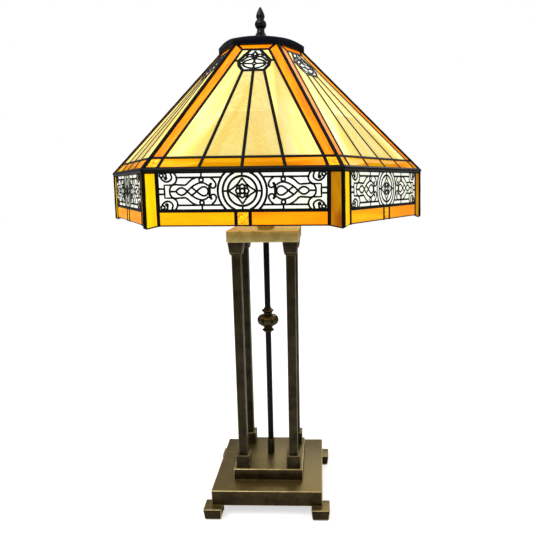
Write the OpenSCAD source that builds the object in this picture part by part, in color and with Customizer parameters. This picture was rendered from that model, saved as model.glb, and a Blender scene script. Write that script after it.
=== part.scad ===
// Stained glass table lamp: a square four-column stand that carries a six-sided leaded glass shade.
// Origin: centre of the footprint, at the height that the felt pads rest on. +Z up, front towards -Y.
// Every size is in millimetres.

/* [Base] */
// Width of the square base shell
base_w = 150; // [146:1:170]
// Height of the top of the base shell
base_top = 38; // [38:1:44]
// Height of the underside of the base shell
base_under = 16; // [14:1:18]
// Width of one block foot
foot_w = 25; // [22:1:26]
// How far the feet stand out past the base shell
foot_out = 10; // [8:1:12]
// Width of the raised plinth
plinth_w = 96; // [92:1:110]
// Height of the top of the plinth
plinth_top = 55; // [54:1:60]

/* [Columns] */
// Distance from the lamp's axis to each column's centre, along X and Y
column_at = 35; // [34:0.5:36]
// Width of a square column tube
column_w = 12; // [11:0.5:13]
// Width of the block under each column
shoe_w = 19; // [17:0.5:21]
// Height of the block under each column
shoe_h = 18; // [15:1:20]
// Height of the tapered capital over each column
capital_h = 17; // [15:1:19]
// Width of the square slab over the columns
slab_w = 92; // [91:1:100]
// Height of the slab's underside
slab_under = 369; // [360:1:372]
// Height of the slab's top
slab_top = 384; // [384:1:386]
// Height of the middle of the turned knop on the centre tube
knop_at = 256.5; // [200:0.5:300]

/* [Shade] */
// Distance from the axis to a corner of the shade at its waist
waist_r = 202; // [198:1:206]
// Distance from the axis to a corner of the shade at its lower tips
tip_r = 204; // [202:1:208]
// Height of the waist, where the slope meets the skirt
waist_at = 457; // [455:1:460]
// Height of the lower tips of the skirt
tip_at = 397.5; // [395:0.5:400]
// Angle that the shade is set down at, round the stem
shade_turn = 1.5; // [0:0.5:3]
// Width of the lead between two panes
lead_w = 2.4; // [1.8:0.1:2.8]
// Thickness of a glass pane
glass_t = 3; // [2.6:0.1:3.2]

/* [Lamp holders] */
// Upward tilt of each lamp holder
holder_tilt = 15; // [10:1:20]
// Height of the middle of the two-light cluster
cluster_at = 425; // [422:1:428]

/* [Hidden] */
CORNERS = [["front_left", -1, -1], ["front_right", 1, -1], ["rear_left", -1, 1], ["rear_right", 1, 1]];
SIDES = [["left", -1], ["right", 1]];
$fn = 64;

// Finishes, as colours
bronze = "#5a4a2c";
dark_bronze = "#37301f";
black_iron = "#1c1c1f";
brass = "#b08d45";
steel = "#a9abad";
amber = "#e8941a";
cream = "#f3e39a";
milk = "#f4f1e4";

// Base
wall = 4;                     // roof and sides of the base shell
edge = 0.8;                   // chamfer on every cast edge
foot_at = base_w / 2 + foot_out - foot_w / 2;
pad_h = 1.5;
screw_r = 2;
screw_head_r = 3.5;
boss_r = 6;
boss_at = 64;
cover_t = 1.2;
ballast_h = 9;
tube_r = 4;
tube_bore_r = 2.5;
rod_r = 2;                    // tie rod
slack = 0.05;                 // radial room round a screw or a shaft

// Cord outlet in the base shell's rear side
outlet_z = 27;
cord_hole_r = 3.75;
bushing_r = 5.5;

// Column stack
shoe_top = plinth_top + shoe_h;
capital_under = slab_under - capital_h;

// Stem and cluster
neck_h = 8;
neck_r = 11.5;
sleeve_r = 6.5;
sleeve_top = cluster_at - 13;
hub_r = 17;
hub_h = 26;
arm_r = 7;
arm_l = 26;
shell_r = 17;
shell_l = 36;
liner_r = 15.4;
screw_shell_r = 13.2;
bulb_r = 30;
bulb_at = 105;                // middle of the bulb's globe, along the holder's axis
bulb_neck_at = 58;
bulb_t = 1;
shade_rod_r = 3;
shade_rod_top = 640;
cap_top = 617;

// Shade, measured on the outer surface of the leads
lead_t = 4.6;
glass_in = 0.8;               // how far the glass lies below the leads' outer surface
run = 1.0385;                 // fall of the corner radius for each millimetre of height
apothem = cos(30);
waist_a = waist_r * apothem;
tip_a = tip_r * apothem;
pitch = atan2(1, run * apothem);
slope_l = 197;                // along the slope, from the waist to the crown
crown_at = waist_at + slope_l * sin(pitch);
crown_a = waist_a - slope_l * cos(pitch);
skirt_h = waist_at - tip_at;
lean = atan2(skirt_h, tip_a - waist_a);
skirt_l = skirt_h / sin(lean);
skirt_top = 56.5;             // upper edge of the skirt's panes
ridge_run = (waist_r - crown_a / apothem) / 2 / slope_l;

// Pane layout on one slope: half widths (u) and distances up the slope (v)
slope_start = 1.5;
border_v = 15.8;
shoulder_v = 166;
crest_v = 148.5;
crown_v = 186;
strip_w = 13.5;
ring_out = 5.6;               // from the crown's outer edge in to the top ring
ring_w = 6.6;
function ridge_u(v) = waist_r / 2 - ridge_run * v;
function strip_u(v) = ridge_u(v) - strip_w;
crest_half = [[12.4, crest_v], [17.5, 157], [18.6, shoulder_v], [16, 176], [7.5, crown_v]];
fan_u = 40.4;                 // foot of the outer dividing leads
fan_foot_u = 43.7;
square_u = 85.8;

// Pane layout on one side of the skirt: half widths (u) and heights (w)
strip_in = 87;
panel_under = 3.5;
panel_low = 17.8;
square_half = 7.3;
wire = 1.3;                   // width of a filigree line

// ---------- outlines ----------
function mirrored(p) = [for (i = [len(p) - 1:-1:0]) [-p[i][0], p[i][1]]];
function unit(a) = a / norm(a);
function shifted_edge(a, b, d) = let (t = unit(b - a), n = [-t[1], t[0]]) [a + n * d, t];
function crossing(e, f) =
    let (k = f[1][0] * e[1][1] - f[1][1] * e[1][0], r = f[0] - e[0])
    abs(k) < 1e-6 ? f[0] : e[0] + e[1] * ((f[1][0] * r[1] - f[1][1] * r[0]) / k);
// A polygon, drawn anticlockwise, taken in by d on every side
function inset(p, d) =
    let (n = len(p), e = [for (i = [0:n - 1]) shifted_edge(p[i], p[(i + 1) % n], d)])
    [for (i = [0:n - 1]) crossing(e[(i + n - 1) % n], e[i])];

cream_outer = [[-strip_u(border_v), border_v], [-fan_u, border_v], [-crest_half[0][0], crest_v],
    [-crest_half[1][0], crest_half[1][1]], [-crest_half[2][0], shoulder_v],
    [-strip_u(shoulder_v), shoulder_v]];
cream_inner = [[-fan_u, border_v], [0, border_v], [0, crest_v], [-crest_half[0][0], crest_v]];
cream_shoulder = [[-strip_u(shoulder_v), shoulder_v], [-crest_half[2][0], shoulder_v],
    [-crest_half[3][0], crest_half[3][1]], [-crest_half[4][0], crown_v], [-strip_u(crown_v), crown_v]];
crest = concat(crest_half, mirrored(crest_half));
crown = [[-strip_u(crown_v), crown_v], [strip_u(crown_v), crown_v], [23.5, slope_l], [-23.5, slope_l]];
ridge_strip = [[-ridge_u(border_v), border_v], [-strip_u(border_v), border_v], [-strip_u(crown_v), crown_v],
    [-23.5, slope_l], [-ridge_u(slope_l), slope_l]];
border_outer = [[-square_u, slope_start], [-fan_foot_u, slope_start], [-fan_u, border_v],
    [-strip_u(border_v), border_v]];
border_inner = [[-fan_foot_u, slope_start], [0, slope_start], [0, border_v], [-fan_u, border_v]];
border_square = [[-ridge_u(slope_start), slope_start], [-square_u, slope_start],
    [-strip_u(border_v), border_v], [-ridge_u(border_v), border_v]];
slope_outline = [[-ridge_u(slope_start), slope_start], [ridge_u(slope_start), slope_start],
    [ridge_u(slope_l), slope_l], [-ridge_u(slope_l), slope_l]];

skirt_top_u = tip_r / 2 - (tip_r - waist_r) / 2 * skirt_top / skirt_l;
corner_strip = [[-tip_r / 2, 0], [-strip_in, panel_under], [-strip_in, skirt_top],
    [-skirt_top_u, skirt_top]];
skirt_long = [[-strip_in, panel_under], [-square_half, panel_under], [-square_half, panel_low],
    [-strip_in, panel_low]];
skirt_square = [[-square_half, panel_under], [square_half, panel_under], [square_half, panel_low],
    [-square_half, panel_low]];
skirt_panel = [[-strip_in, panel_low], [strip_in, panel_low], [strip_in, skirt_top], [-strip_in, skirt_top]];
skirt_outline = [[-tip_r / 2, 0], [-strip_in, panel_under], [strip_in, panel_under], [tip_r / 2, 0],
    [skirt_top_u, skirt_top], [-skirt_top_u, skirt_top]];

SLOPE_PANES = [for (p = [cream_outer, cream_inner, cream_shoulder, ridge_strip, border_outer, border_inner,
    border_square]) each [p, mirrored(p)]];
SKIRT_PANES = [for (p = [corner_strip, skirt_long]) each [p, mirrored(p)]];

// ---------- shared shapes ----------
// A block with every edge chamfered by c, standing on z = 0
module block(w, d, h, c = edge) {
    function cut(a, b) = [[c, 0], [a - c, 0], [a, c], [a, b - c], [a - c, b], [c, b], [0, b - c], [0, c]];
    translate([-w / 2, -d / 2, 0])
        intersection() {
            linear_extrude(h) polygon(cut(w, d));
            translate([0, d, 0]) rotate([90, 0, 0]) linear_extrude(d) polygon(cut(w, h));
            rotate([90, 0, 90]) linear_extrude(w) polygon(cut(d, h));
        }
}

// A square block whose width changes with height; each step is a width and the height where it holds
module flared_block(steps) {
    widest = max([for (p = steps) p[0]]);
    side = concat([for (p = steps) [p[0] / 2, p[1]]],
                  [for (i = [len(steps) - 1:-1:0]) [-steps[i][0] / 2, steps[i][1]]]);
    intersection() {
        translate([0, widest / 2, 0]) rotate([90, 0, 0]) linear_extrude(widest) polygon(side);
        translate([-widest / 2, 0, 0]) rotate([90, 0, 90]) linear_extrude(widest) polygon(side);
    }
}

module at_corner(c, d) {
    translate([c[1] * d, c[2] * d, 0]) children();
}

module hex_prism(af, h) {
    rotate([0, 0, 30]) cylinder(r = af / 2 / apothem, h = h, $fn = 6);
}

module ring(r_out, r_in, h) {
    difference() {
        cylinder(r = r_out, h = h);
        translate([0, 0, -1]) cylinder(r = r_in, h = h + 2);
    }
}

// Stands its children on one slope of the shade, x across, y up the slope, z out of the glass
module on_slope(k) {
    rotate([0, 0, 60 * k - shade_turn])
        translate([0, -waist_a, waist_at])
            rotate([pitch, 0, 0]) children();
}

// Stands its children on one side of the skirt
module on_skirt(k) {
    rotate([0, 0, 60 * k - shade_turn])
        translate([0, -tip_a, tip_at])
            rotate([lean, 0, 0]) children();
}

// Keeps what lies in one sixth of the shade, so that neighbours meet in a mitre
module one_sixth(k) {
    reach = 260;
    gap = 0.02;
    intersection() {
        children();
        rotate([0, 0, 60 * k - shade_turn])
            translate([0, -gap, 380])
                linear_extrude(240)
                    polygon([[0, 0], [-reach / 2, -reach * apothem], [reach / 2, -reach * apothem]]);
    }
}

module pane(p) {
    translate([0, 0, -glass_in - glass_t]) linear_extrude(glass_t) polygon(inset(p, lead_w / 2));
}

module slope_panes(list) {
    for (k = [0:5], p = list) on_slope(k) pane(p);
}

module mitred_slope_panes(list) {
    for (k = [0:5]) one_sixth(k) on_slope(k) for (p = list) pane(p);
}

// ---------- base ----------
module base_shell() {
    color(bronze)
        difference() {
            translate([0, 0, base_under]) block(base_w, base_w, base_top - base_under);
            difference() {
                translate([-base_w / 2 + wall, -base_w / 2 + wall, base_under - 1])
                    cube([base_w - 2 * wall, base_w - 2 * wall, base_top - base_under + 1 - wall]);
                for (c = CORNERS)
                    at_corner(c, boss_at)
                        translate([0, 0, base_under + cover_t]) cylinder(r = boss_r, h = 40);
            }
            for (c = CORNERS)
                at_corner(c, boss_at) translate([0, 0, 10]) cylinder(r = screw_r + slack, h = 16.5);
            for (c = CORNERS) at_corner(c, column_at) cylinder(r = rod_r + 0.2, h = 60);
            cylinder(r = tube_r + 0.1, h = 60);
            translate([0, 0, outlet_z]) rotate([-90, 0, 0]) cylinder(r = bushing_r + slack, h = 90);
        }
}

module ballast_block() {
    color(black_iron)
        difference() {
            translate([0, -4, base_under + cover_t + 0.3]) block(126, 124, ballast_h);
            cylinder(r = 13, h = 60);
            for (c = CORNERS) at_corner(c, boss_at) cylinder(r = boss_r + 1, h = 60);
            for (c = CORNERS) at_corner(c, column_at) cylinder(r = 6, h = 60);
            translate([0, 60, 0]) cylinder(r = 12, h = 60);
        }
}

module bottom_cover() {
    side = base_w - 2 * wall - 0.6;
    color(black_iron)
        translate([0, 0, base_under])
            difference() {
                translate([-side / 2, -side / 2, 0]) cube([side, side, cover_t]);
                for (c = CORNERS)
                    at_corner(c, boss_at) translate([0, 0, -1]) cylinder(r = screw_r + slack, h = 4);
            }
}

module foot(c) {
    color(bronze)
        difference() {
            at_corner(c, foot_at)
                translate([0, 0, pad_h]) flared_block([[foot_w - 3, 0], [foot_w, base_under - pad_h]]);
            at_corner(c, boss_at) cylinder(r = screw_r + slack, h = 30);
            at_corner(c, boss_at) cylinder(r = screw_head_r + 0.3, h = pad_h + 4.5);
        }
}

module foot_screws() {
    color(steel)
        for (c = CORNERS)
            at_corner(c, boss_at) {
                translate([0, 0, pad_h + 4.5]) cylinder(r = screw_r, h = 20);
                translate([0, 0, pad_h + 1.5]) cylinder(r = screw_head_r, h = 3);
            }
}

module foot_pads() {
    color("#3a3f3a")
        for (c = CORNERS) at_corner(c, foot_at) block(foot_w - 5, foot_w - 5, pad_h, 0.3);
}

module plinth() {
    color(bronze)
        difference() {
            translate([0, 0, base_top]) block(plinth_w, plinth_w, plinth_top - base_top);
            difference() {
                inner = plinth_w - 2 * wall;
                translate([-inner / 2, -inner / 2, base_top - 1])
                    cube([inner, inner, plinth_top - base_top + 1 - wall]);
                cylinder(r = boss_r + 3, h = 80);
                for (c = CORNERS) at_corner(c, column_at) cylinder(r = boss_r, h = 80);
            }
            cylinder(r = tube_r + 0.1, h = 80);
            for (c = CORNERS) at_corner(c, column_at) cylinder(r = rod_r + 0.2, h = 80);
        }
}

// ---------- columns ----------
module column(c) {
    bore = column_w - 2.4;
    color(dark_bronze)
        at_corner(c, column_at)
            translate([0, 0, shoe_top])
                difference() {
                    block(column_w, column_w, capital_under - shoe_top, 0.5);
                    translate([-bore / 2, -bore / 2, -1]) cube([bore, bore, capital_under - shoe_top + 2]);
                }
}

module column_shoes() {
    color(dark_bronze)
        for (c = CORNERS)
            at_corner(c, column_at)
                difference() {
                    translate([0, 0, plinth_top]) block(shoe_w, shoe_w, shoe_h, 0.7);
                    cylinder(r = rod_r + 0.2, h = 90);
                }
}

module column_capitals() {
    chin = 3;
    chin_w = 16.6;
    capital_w = 19.8;
    color(dark_bronze)
        for (c = CORNERS)
            at_corner(c, column_at)
                difference() {
                    translate([0, 0, capital_under])
                        flared_block([[column_w + 1, 0], [chin_w, chin], [capital_w, capital_h]]);
                    translate([0, 0, capital_under - 1]) cylinder(r = rod_r + 0.2, h = 40);
                }
}

module tie_rods() {
    low = 27;
    color(steel)
        for (c = CORNERS) at_corner(c, column_at) translate([0, 0, low]) cylinder(r = rod_r, h = 379 - low);
}

module tie_rod_nuts() {
    color(steel)
        for (c = CORNERS)
            at_corner(c, column_at)
                translate([0, 0, base_top - wall - 4])
                    difference() {
                        hex_prism(7, 4);
                        translate([0, 0, -1]) cylinder(r = rod_r + slack, h = 6);
                    }
}

module top_slab() {
    color(bronze)
        difference() {
            translate([0, 0, slab_under]) block(slab_w, slab_w, slab_top - slab_under);
            translate([0, 0, slab_under - 1]) cylinder(r = tube_r + 0.1, h = 20);
            for (c = CORNERS)
                at_corner(c, column_at)
                    translate([0, 0, slab_under - 1]) cylinder(r = rod_r + slack, h = 11.5);
        }
}

// ---------- centre tube and cluster ----------
module centre_tube() {
    low = 23;
    color(black_iron) translate([0, 0, low]) ring(tube_r, tube_bore_r, cluster_at - 6 - low);
}

module tube_ferrule() {
    color(dark_bronze) translate([0, 0, plinth_top]) ring(tube_r + 1, tube_r + slack, 23);
}

// Profile of half the knop: radius against height over its middle
knop_low = [[6, -16.6], [8.2, -14.6], [8.2, -13.8], [6.2, -12], [5.7, -10]];
knop_ball = [for (a = [-50:10:60]) [8 + 6.8 * cos(a), 7.4 * sin(a)]];
knop_high = [[7.2, 7.6], [5.9, 8.8], [5.7, 10.6], [8.3, 13.2], [8.3, 14.2], [5.4, 15.8], [5, 17.6]];

module centre_knop() {
    bore = tube_r + slack;
    color(bronze)
        translate([0, 0, knop_at])
            rotate_extrude()
                polygon(concat([[bore, -17.6], [5, -17.6]], knop_low, knop_ball, knop_high, [[bore, 17.6]]));
}

module tube_nut() {
    washer_t = 1.6;
    color(steel)
        translate([0, 0, base_top - wall]) {
            translate([0, 0, -washer_t]) ring(8, tube_r + 0.1, washer_t);
            translate([0, 0, -washer_t - 5])
                difference() {
                    hex_prism(13, 4.9);
                    translate([0, 0, -1]) cylinder(r = tube_r + slack, h = 8);
                }
        }
}

module neck_flange() {
    color(bronze)
        translate([0, 0, slab_top])
            difference() {
                union() {
                    cylinder(r = neck_r, h = neck_h - 2);
                    translate([0, 0, neck_h - 2]) cylinder(r1 = neck_r, r2 = sleeve_r + 1, h = 2);
                }
                translate([0, 0, -1]) cylinder(r = tube_r + 0.1, h = neck_h + 2);
            }
}

module stem_sleeve() {
    low = slab_top + neck_h;
    color(bronze) translate([0, 0, low]) ring(sleeve_r, tube_r + 0.1, sleeve_top - low);
}

// Turns its children from the cluster's middle out along a lamp holder's axis
module along_holder(side) {
    translate([0, 0, cluster_at]) rotate([0, side * (90 - holder_tilt), 0]) children();
}

module cluster_body() {
    color(brass)
        difference() {
            union() {
                translate([0, 0, cluster_at - hub_h / 2]) cylinder(r = hub_r, h = hub_h);
                for (s = SIDES) along_holder(s[1]) cylinder(r = arm_r, h = arm_l);
            }
            translate([0, 0, cluster_at - hub_h / 2 - 1]) cylinder(r = tube_r + slack, h = 8.5);
            translate([0, 0, cluster_at - 6]) cylinder(r = 8, h = 12);
            translate([0, 0, cluster_at]) cylinder(r = shade_rod_r + slack, h = 20);
            for (s = SIDES) along_holder(s[1]) cylinder(r = 3, h = arm_l + 1);
        }
}

module socket_shell(side) {
    color(brass)
        along_holder(side)
            translate([0, 0, arm_l])
                difference() {
                    union() {
                        cylinder(r = shell_r, h = shell_l);
                        translate([0, 0, 9]) cylinder(r = shell_r + 1, h = 2);
                    }
                    translate([0, 0, 2]) cylinder(r = liner_r + slack, h = shell_l);
                    translate([0, 0, -1]) cylinder(r = 3, h = 4);
                }
}

module socket_liners() {
    color(milk)
        for (s = SIDES)
            along_holder(s[1])
                translate([0, 0, arm_l + 2])
                    difference() {
                        cylinder(r = liner_r, h = shell_l - 3);
                        translate([0, 0, 5]) cylinder(r = screw_shell_r + 0.4, h = shell_l);
                        translate([0, 0, -1]) cylinder(r = 3, h = 8);
                    }
}

// Half profile of a bulb's envelope at a distance d inside its outer surface
function bulb_profile(d) =
    let (a0 = -52, s0 = bulb_at + bulb_r * sin(a0), r0 = bulb_r * cos(a0))
    concat(
        [for (i = [0:7]) let (t = i / 8)
            [12.6 + (r0 - 12.6) * (1 - cos(180 * t)) / 2 - d, bulb_neck_at + (s0 - bulb_neck_at) * t]],
        [for (a = [a0:9.4667:90]) [max(0, (bulb_r - d) * cos(a)), bulb_at + (bulb_r - d) * sin(a)]]
    );

module bulb_glass(side) {
    outer = bulb_profile(0);
    inner = bulb_profile(bulb_t);
    color(milk)
        along_holder(side)
            rotate_extrude() polygon(concat(outer, [for (i = [len(inner) - 1:-1:0]) inner[i]]));
}

module bulb_cap(side) {
    low = arm_l + 9.4;
    color(steel)
        along_holder(side) {
            difference() {
                translate([0, 0, low]) cylinder(r = screw_shell_r, h = bulb_neck_at - low);
                translate([0, 0, low + 2]) cylinder(r = screw_shell_r - 0.7, h = 60);
            }
            translate([0, 0, low - 1.6]) cylinder(r = 4.5, h = 1.6);
        }
}

module shade_rod() {
    low = cluster_at + 6;
    color(brass) translate([0, 0, low]) cylinder(r = shade_rod_r, h = shade_rod_top - low);
}

module shade_rest_nut() {
    color(brass)
        translate([0, 0, crown_at - 10])
            difference() {
                hex_prism(14, 5.95);
                translate([0, 0, -1]) cylinder(r = shade_rod_r + slack, h = 8);
            }
}

// ---------- cord outlet and wires ----------
module cord_bushing() {
    color(black_iron)
        translate([0, base_w / 2 - wall - 5, outlet_z])
            rotate([-90, 0, 0])
                difference() {
                    union() {
                        cylinder(r = bushing_r, h = wall + 5);
                        cylinder(r = 6.7, h = 4.9);
                        translate([0, 0, wall + 5]) cylinder(r1 = 8, r2 = 6.6, h = 3);
                    }
                    translate([0, 0, -1]) cylinder(r = cord_hole_r, h = wall + 12);
                }
}

// Two insulated leads, up the tube from the base into the cluster
module lamp_wires() {
    wire_r = 0.95;
    low = 22.5;
    for (s = [-1, 1])
        color(s < 0 ? black_iron : "#6b4a22")
            translate([0, s * 1.15, low]) cylinder(r = wire_r, h = cluster_at - 4 - low, $fn = 24);
}

// ---------- shade metalwork ----------
module spider() {
    arm_w = 7;
    inner_a = crown_a - ring_out - ring_w;
    hub_r = 10;
    hole_r = shade_rod_r + 0.25;
    color(brass)
        rotate([0, 0, -shade_turn])
            translate([0, 0, crown_at - 4]) {
                ring(hub_r, hole_r, 4);
                for (k = [0:2])
                    rotate([0, 0, 120 * k])
                        difference() {
                            translate([-arm_w / 2, -inner_a, 0.6]) cube([arm_w, inner_a, 2.4]);
                            translate([0, 0, -1]) cylinder(r = hub_r, h = 8);
                        }
            }
}

module top_ring() {
    outer_a = crown_a - ring_out;
    color(brass)
        rotate([0, 0, -shade_turn])
            translate([0, 0, crown_at - 4])
                difference() {
                    cylinder(r = outer_a / apothem, h = 4, $fn = 6);
                    translate([0, 0, -1]) cylinder(r = (outer_a - ring_w) / apothem, h = 6, $fn = 6);
                }
}

module slope_came() {
    color(black_iron)
        for (k = [0:5])
            one_sixth(k)
                on_slope(k)
                    translate([0, 0, -lead_t])
                        linear_extrude(lead_t)
                            difference() {
                                polygon(slope_outline);
                                for (p = concat(SLOPE_PANES, [crest, crown])) polygon(inset(p, lead_w / 2));
                            }
}

module skirt_came() {
    color(black_iron)
        for (k = [0:5])
            one_sixth(k)
                on_skirt(k)
                    translate([0, 0, -lead_t])
                        linear_extrude(lead_t)
                            difference() {
                                polygon(skirt_outline);
                                for (p = concat(SKIRT_PANES, [skirt_square, skirt_panel]))
                                    polygon(inset(p, lead_w / 2));
                            }
}

// A round bar from a to b
module bar(a, b, r) {
    d = b - a;
    translate(a)
        rotate([0, acos(d[2] / norm(d)), atan2(d[1], d[0])]) cylinder(r = r, h = norm(d), $fn = 32);
}

module ridge_beads() {
    bead_stop = 5;
    waist_gap = 3;
    color(black_iron)
        for (k = [0:5])
            rotate([0, 0, 60 * k - 30 - shade_turn]) {
                bar([0, 1 - waist_r + run * waist_gap, waist_at + waist_gap],
                    [0, 1 - crown_a / apothem - run * bead_stop, crown_at - bead_stop], 2);
                bar([0, 0.6 - tip_r, tip_at + 0.6], [0, 0.5 - waist_r, waist_at - waist_gap], 1.8);
            }
}

module waist_bead() {
    bead_r = 2.4;
    sunk = 0.9;
    low = waist_at - 1.3;
    color(black_iron)
        for (k = [0:5])
            one_sixth(k)
                rotate([0, 0, 60 * k - shade_turn])
                    translate([-110, sunk - waist_a, low])
                        rotate([0, 90, 0]) cylinder(r = bead_r, h = 220, $fn = 32);
}

module bottom_rim() {
    rim_r = 1.15;
    function at(u, w) = [u, w, -lead_t / 2];
    color(black_iron)
        for (k = [0:5])
            on_skirt(k) {
                bar(at(0.6 - strip_in, panel_under), at(strip_in - 0.6, panel_under), rim_r);
                for (s = [-1, 1])
                    bar(at(s * (strip_in + 0.6), panel_under - 0.2), at(s * (tip_r / 2 - 3.6), 0.8), rim_r);
            }
}

// ---------- shade glass ----------
module cream_panes() {
    color(cream)
        slope_panes([for (p = [cream_outer, cream_inner, cream_shoulder]) each [p, mirrored(p)]]);
}

module crown_panes() {
    color(amber) slope_panes([crown]);
}

module ridge_strips() {
    color(amber) mitred_slope_panes([ridge_strip, mirrored(ridge_strip)]);
}

module border_panes() {
    color(amber) slope_panes([for (p = [border_outer, border_inner]) each [p, mirrored(p)]]);
}

module mottled_squares() {
    color("#d98a2b") {
        mitred_slope_panes([border_square, mirrored(border_square)]);
        for (k = [0:5]) on_skirt(k) pane(skirt_square);
    }
}

module corner_strips() {
    color("#f2a818")
        for (k = [0:5]) one_sixth(k) on_skirt(k) for (p = [corner_strip, mirrored(corner_strip)]) pane(p);
}

module skirt_panes() {
    color(amber)
        for (k = [0:5]) on_skirt(k) for (p = [skirt_long, mirrored(skirt_long)]) pane(p);
}

module filigree_glass() {
    color(milk) {
        for (k = [0:5]) on_skirt(k) pane(skirt_panel);
        slope_panes([crest]);
    }
}

// ---------- filigree overlays ----------
module hoop(r, w = wire) {
    difference() {
        circle(r + w / 2, $fn = 48);
        circle(r - w / 2, $fn = 48);
    }
}

// A straight wire from a to b in the flat of a panel
module lay_wire(a, b) {
    d = b - a;
    translate(a) rotate(atan2(d[1], d[0])) translate([0, -wire / 2]) square([norm(d), wire]);
}

// Flat outline of the pierced sheet over one skirt panel: frame, medallion, rails, loops and corner scrolls
module skirt_pattern() {
    half_w = strip_in - lead_w / 2;
    low = panel_low + lead_w / 2;
    high = skirt_top - lead_w / 2;
    half_h = (high - low) / 2;
    rail_w = 13.7;
    star = [[0, 12.6], [-8.8, 3.3], [-14.4, 0], [-8.8, -3.3],
        [0, -12.6], [8.8, -3.3], [14.4, 0], [8.8, 3.3]];
    difference() {
        translate([-half_w, low]) square([2 * half_w, 2 * half_h]);
        translate([-half_w + wire, low + wire]) square([2 * half_w - 2 * wire, 2 * half_h - 2 * wire]);
    }
    translate([0, (low + high) / 2]) {
        intersection() {
            square([2 * half_w, 2 * half_h], center = true);
            union() {
                for (r = [24.8, 19.8, 14.7, 6.2, 2.3]) hoop(r);
                for (a = [0:90:270]) rotate([0, 0, a]) translate([14.7, -wire / 2]) square([5.1, wire]);
            }
        }
        difference() {
            polygon(star);
            polygon(inset(star, wire));
        }
        for (s = [-1, 1]) {
            lay_wire([s * 33.2, -5.4], [s * 33.2, 5.4]);
            lay_wire([s * 67.4, 0], [s * half_w, 0]);
            lay_wire([s * 79.1, -6.4], [s * 79.1, 6.4]);
            translate([s * 28.9, 0]) hoop(4.3);
            translate([s * 39.5, 0]) hoop(6.3);
            translate([s * 50.7, 0]) hoop(4.9);
            translate([s * 61.5, 0]) hoop(5.9);
            for (t = [-1, 1]) {
                lay_wire([s * 1.7, t * 1.7], [s * 4.9, t * 7.2]);
                lay_wire([s * 20.7, t * rail_w], [s * 67.6, t * rail_w]);
                lay_wire([s * 41.2, t * rail_w], [s * 41.2, t * half_h]);
                lay_wire([s * 28.9, t * 4.3], [s * 31.6, t * rail_w]);
                lay_wire([s * 39.5, t * 6.3], [s * 41.2, t * rail_w]);
                lay_wire([s * 66.5, t * 6.4], [s * 79.1, t * 6.4]);
                translate([s * 72.8, t * 12.2]) hoop(5.2);
                translate([s * 81.8, t * 15.2]) hoop(2.4);
            }
        }
    }
}

module skirt_filigree() {
    color(black_iron)
        for (k = [0:5])
            on_skirt(k)
                translate([0, 0, -glass_in]) linear_extrude(glass_in + 0.3) skirt_pattern();
}

module crest_filigree() {
    rim = inset(crest, lead_w / 2);
    color(black_iron)
        for (k = [0:5])
            on_slope(k)
                translate([0, 0, -glass_in])
                    linear_extrude(glass_in + 0.3) {
                        difference() {
                            polygon(rim);
                            polygon(inset(rim, wire));
                        }
                        for (s = [-1, 1]) translate([s * 8.2, 162]) hoop(7.4);
                        translate([0, 176]) hoop(7.6);
                        translate([0, 163]) hoop(2.6);
                    }
}

// ---------- cap and finial ----------
module heat_cap() {
    corner_r = 54;
    dome_r = 170;
    sheet = 1.5;
    low = 601.5;
    color(black_iron)
        difference() {
            intersection() {
                rotate([0, 0, -shade_turn]) translate([0, 0, low]) cylinder(r = corner_r, h = 30, $fn = 6);
                translate([0, 0, cap_top - dome_r]) sphere(r = dome_r, $fn = 128);
            }
            intersection() {
                rotate([0, 0, -shade_turn])
                    translate([0, 0, low - 1]) cylinder(r = corner_r - sheet / apothem, h = 30, $fn = 6);
                translate([0, 0, cap_top - dome_r]) sphere(r = dome_r - sheet, $fn = 128);
            }
            translate([0, 0, low]) cylinder(r = shade_rod_r + 0.25, h = 30);
        }
}

// Half profile of the finial: radius against height over the cap
finial_foot = [[8, 0], [8.5, 1.4], [8.5, 3.2], [6.6, 5.4], [6.6, 6.4], [5.4, 7.6], [4.7, 10.4]];
finial_bulb = [for (a = [-60:15:60]) [2.2 + 5.1 * cos(a), 17.6 + 5.6 * sin(a)]];
finial_tip = [[4.4, 23.8], [5.3, 25.6], [5.4, 27.2], [4.9, 29.6], [3.6, 32.6],
    [1.9, 35.8], [0.8, 37.4], [0, 37.8]];

module finial() {
    low = cap_top + 0.1;
    color(black_iron)
        translate([0, 0, low])
            difference() {
                rotate_extrude() polygon(concat([[0, 0]], finial_foot, finial_bulb, finial_tip));
                translate([0, 0, -1]) cylinder(r = shade_rod_r + slack, h = shade_rod_top - low + 1.6);
            }
}

base_shell();
ballast_block();
bottom_cover();
foot_screws();
foot_pads();
plinth();
for (c = CORNERS) foot(c);
for (c = CORNERS) column(c);
column_shoes();
column_capitals();
tie_rods();
tie_rod_nuts();
top_slab();
centre_tube();
tube_ferrule();
centre_knop();
tube_nut();
neck_flange();
stem_sleeve();
cluster_body();
for (s = SIDES) socket_shell(s[1]);
socket_liners();
shade_rod();
shade_rest_nut();
cord_bushing();
lamp_wires();
for (s = SIDES) bulb_glass(s[1]);
for (s = SIDES) bulb_cap(s[1]);
spider();
top_ring();
slope_came();
skirt_came();
ridge_beads();
waist_bead();
bottom_rim();
cream_panes();
crown_panes();
ridge_strips();
border_panes();
mottled_squares();
corner_strips();
skirt_panes();
filigree_glass();
skirt_filigree();
crest_filigree();
heat_cap();
finial();
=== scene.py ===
"""A table lamp with a six-sided leaded glass shade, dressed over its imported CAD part.

Sizes are in millimetres, as in the part's source. A piece is scaled to metres once, when its
mesh is finished.
"""
import logging
import math
import random
from dataclasses import dataclass, field
from enum import Enum
from typing import Iterable, Optional, Sequence

import bmesh
import bpy
from mathutils import Matrix, Vector


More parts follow.
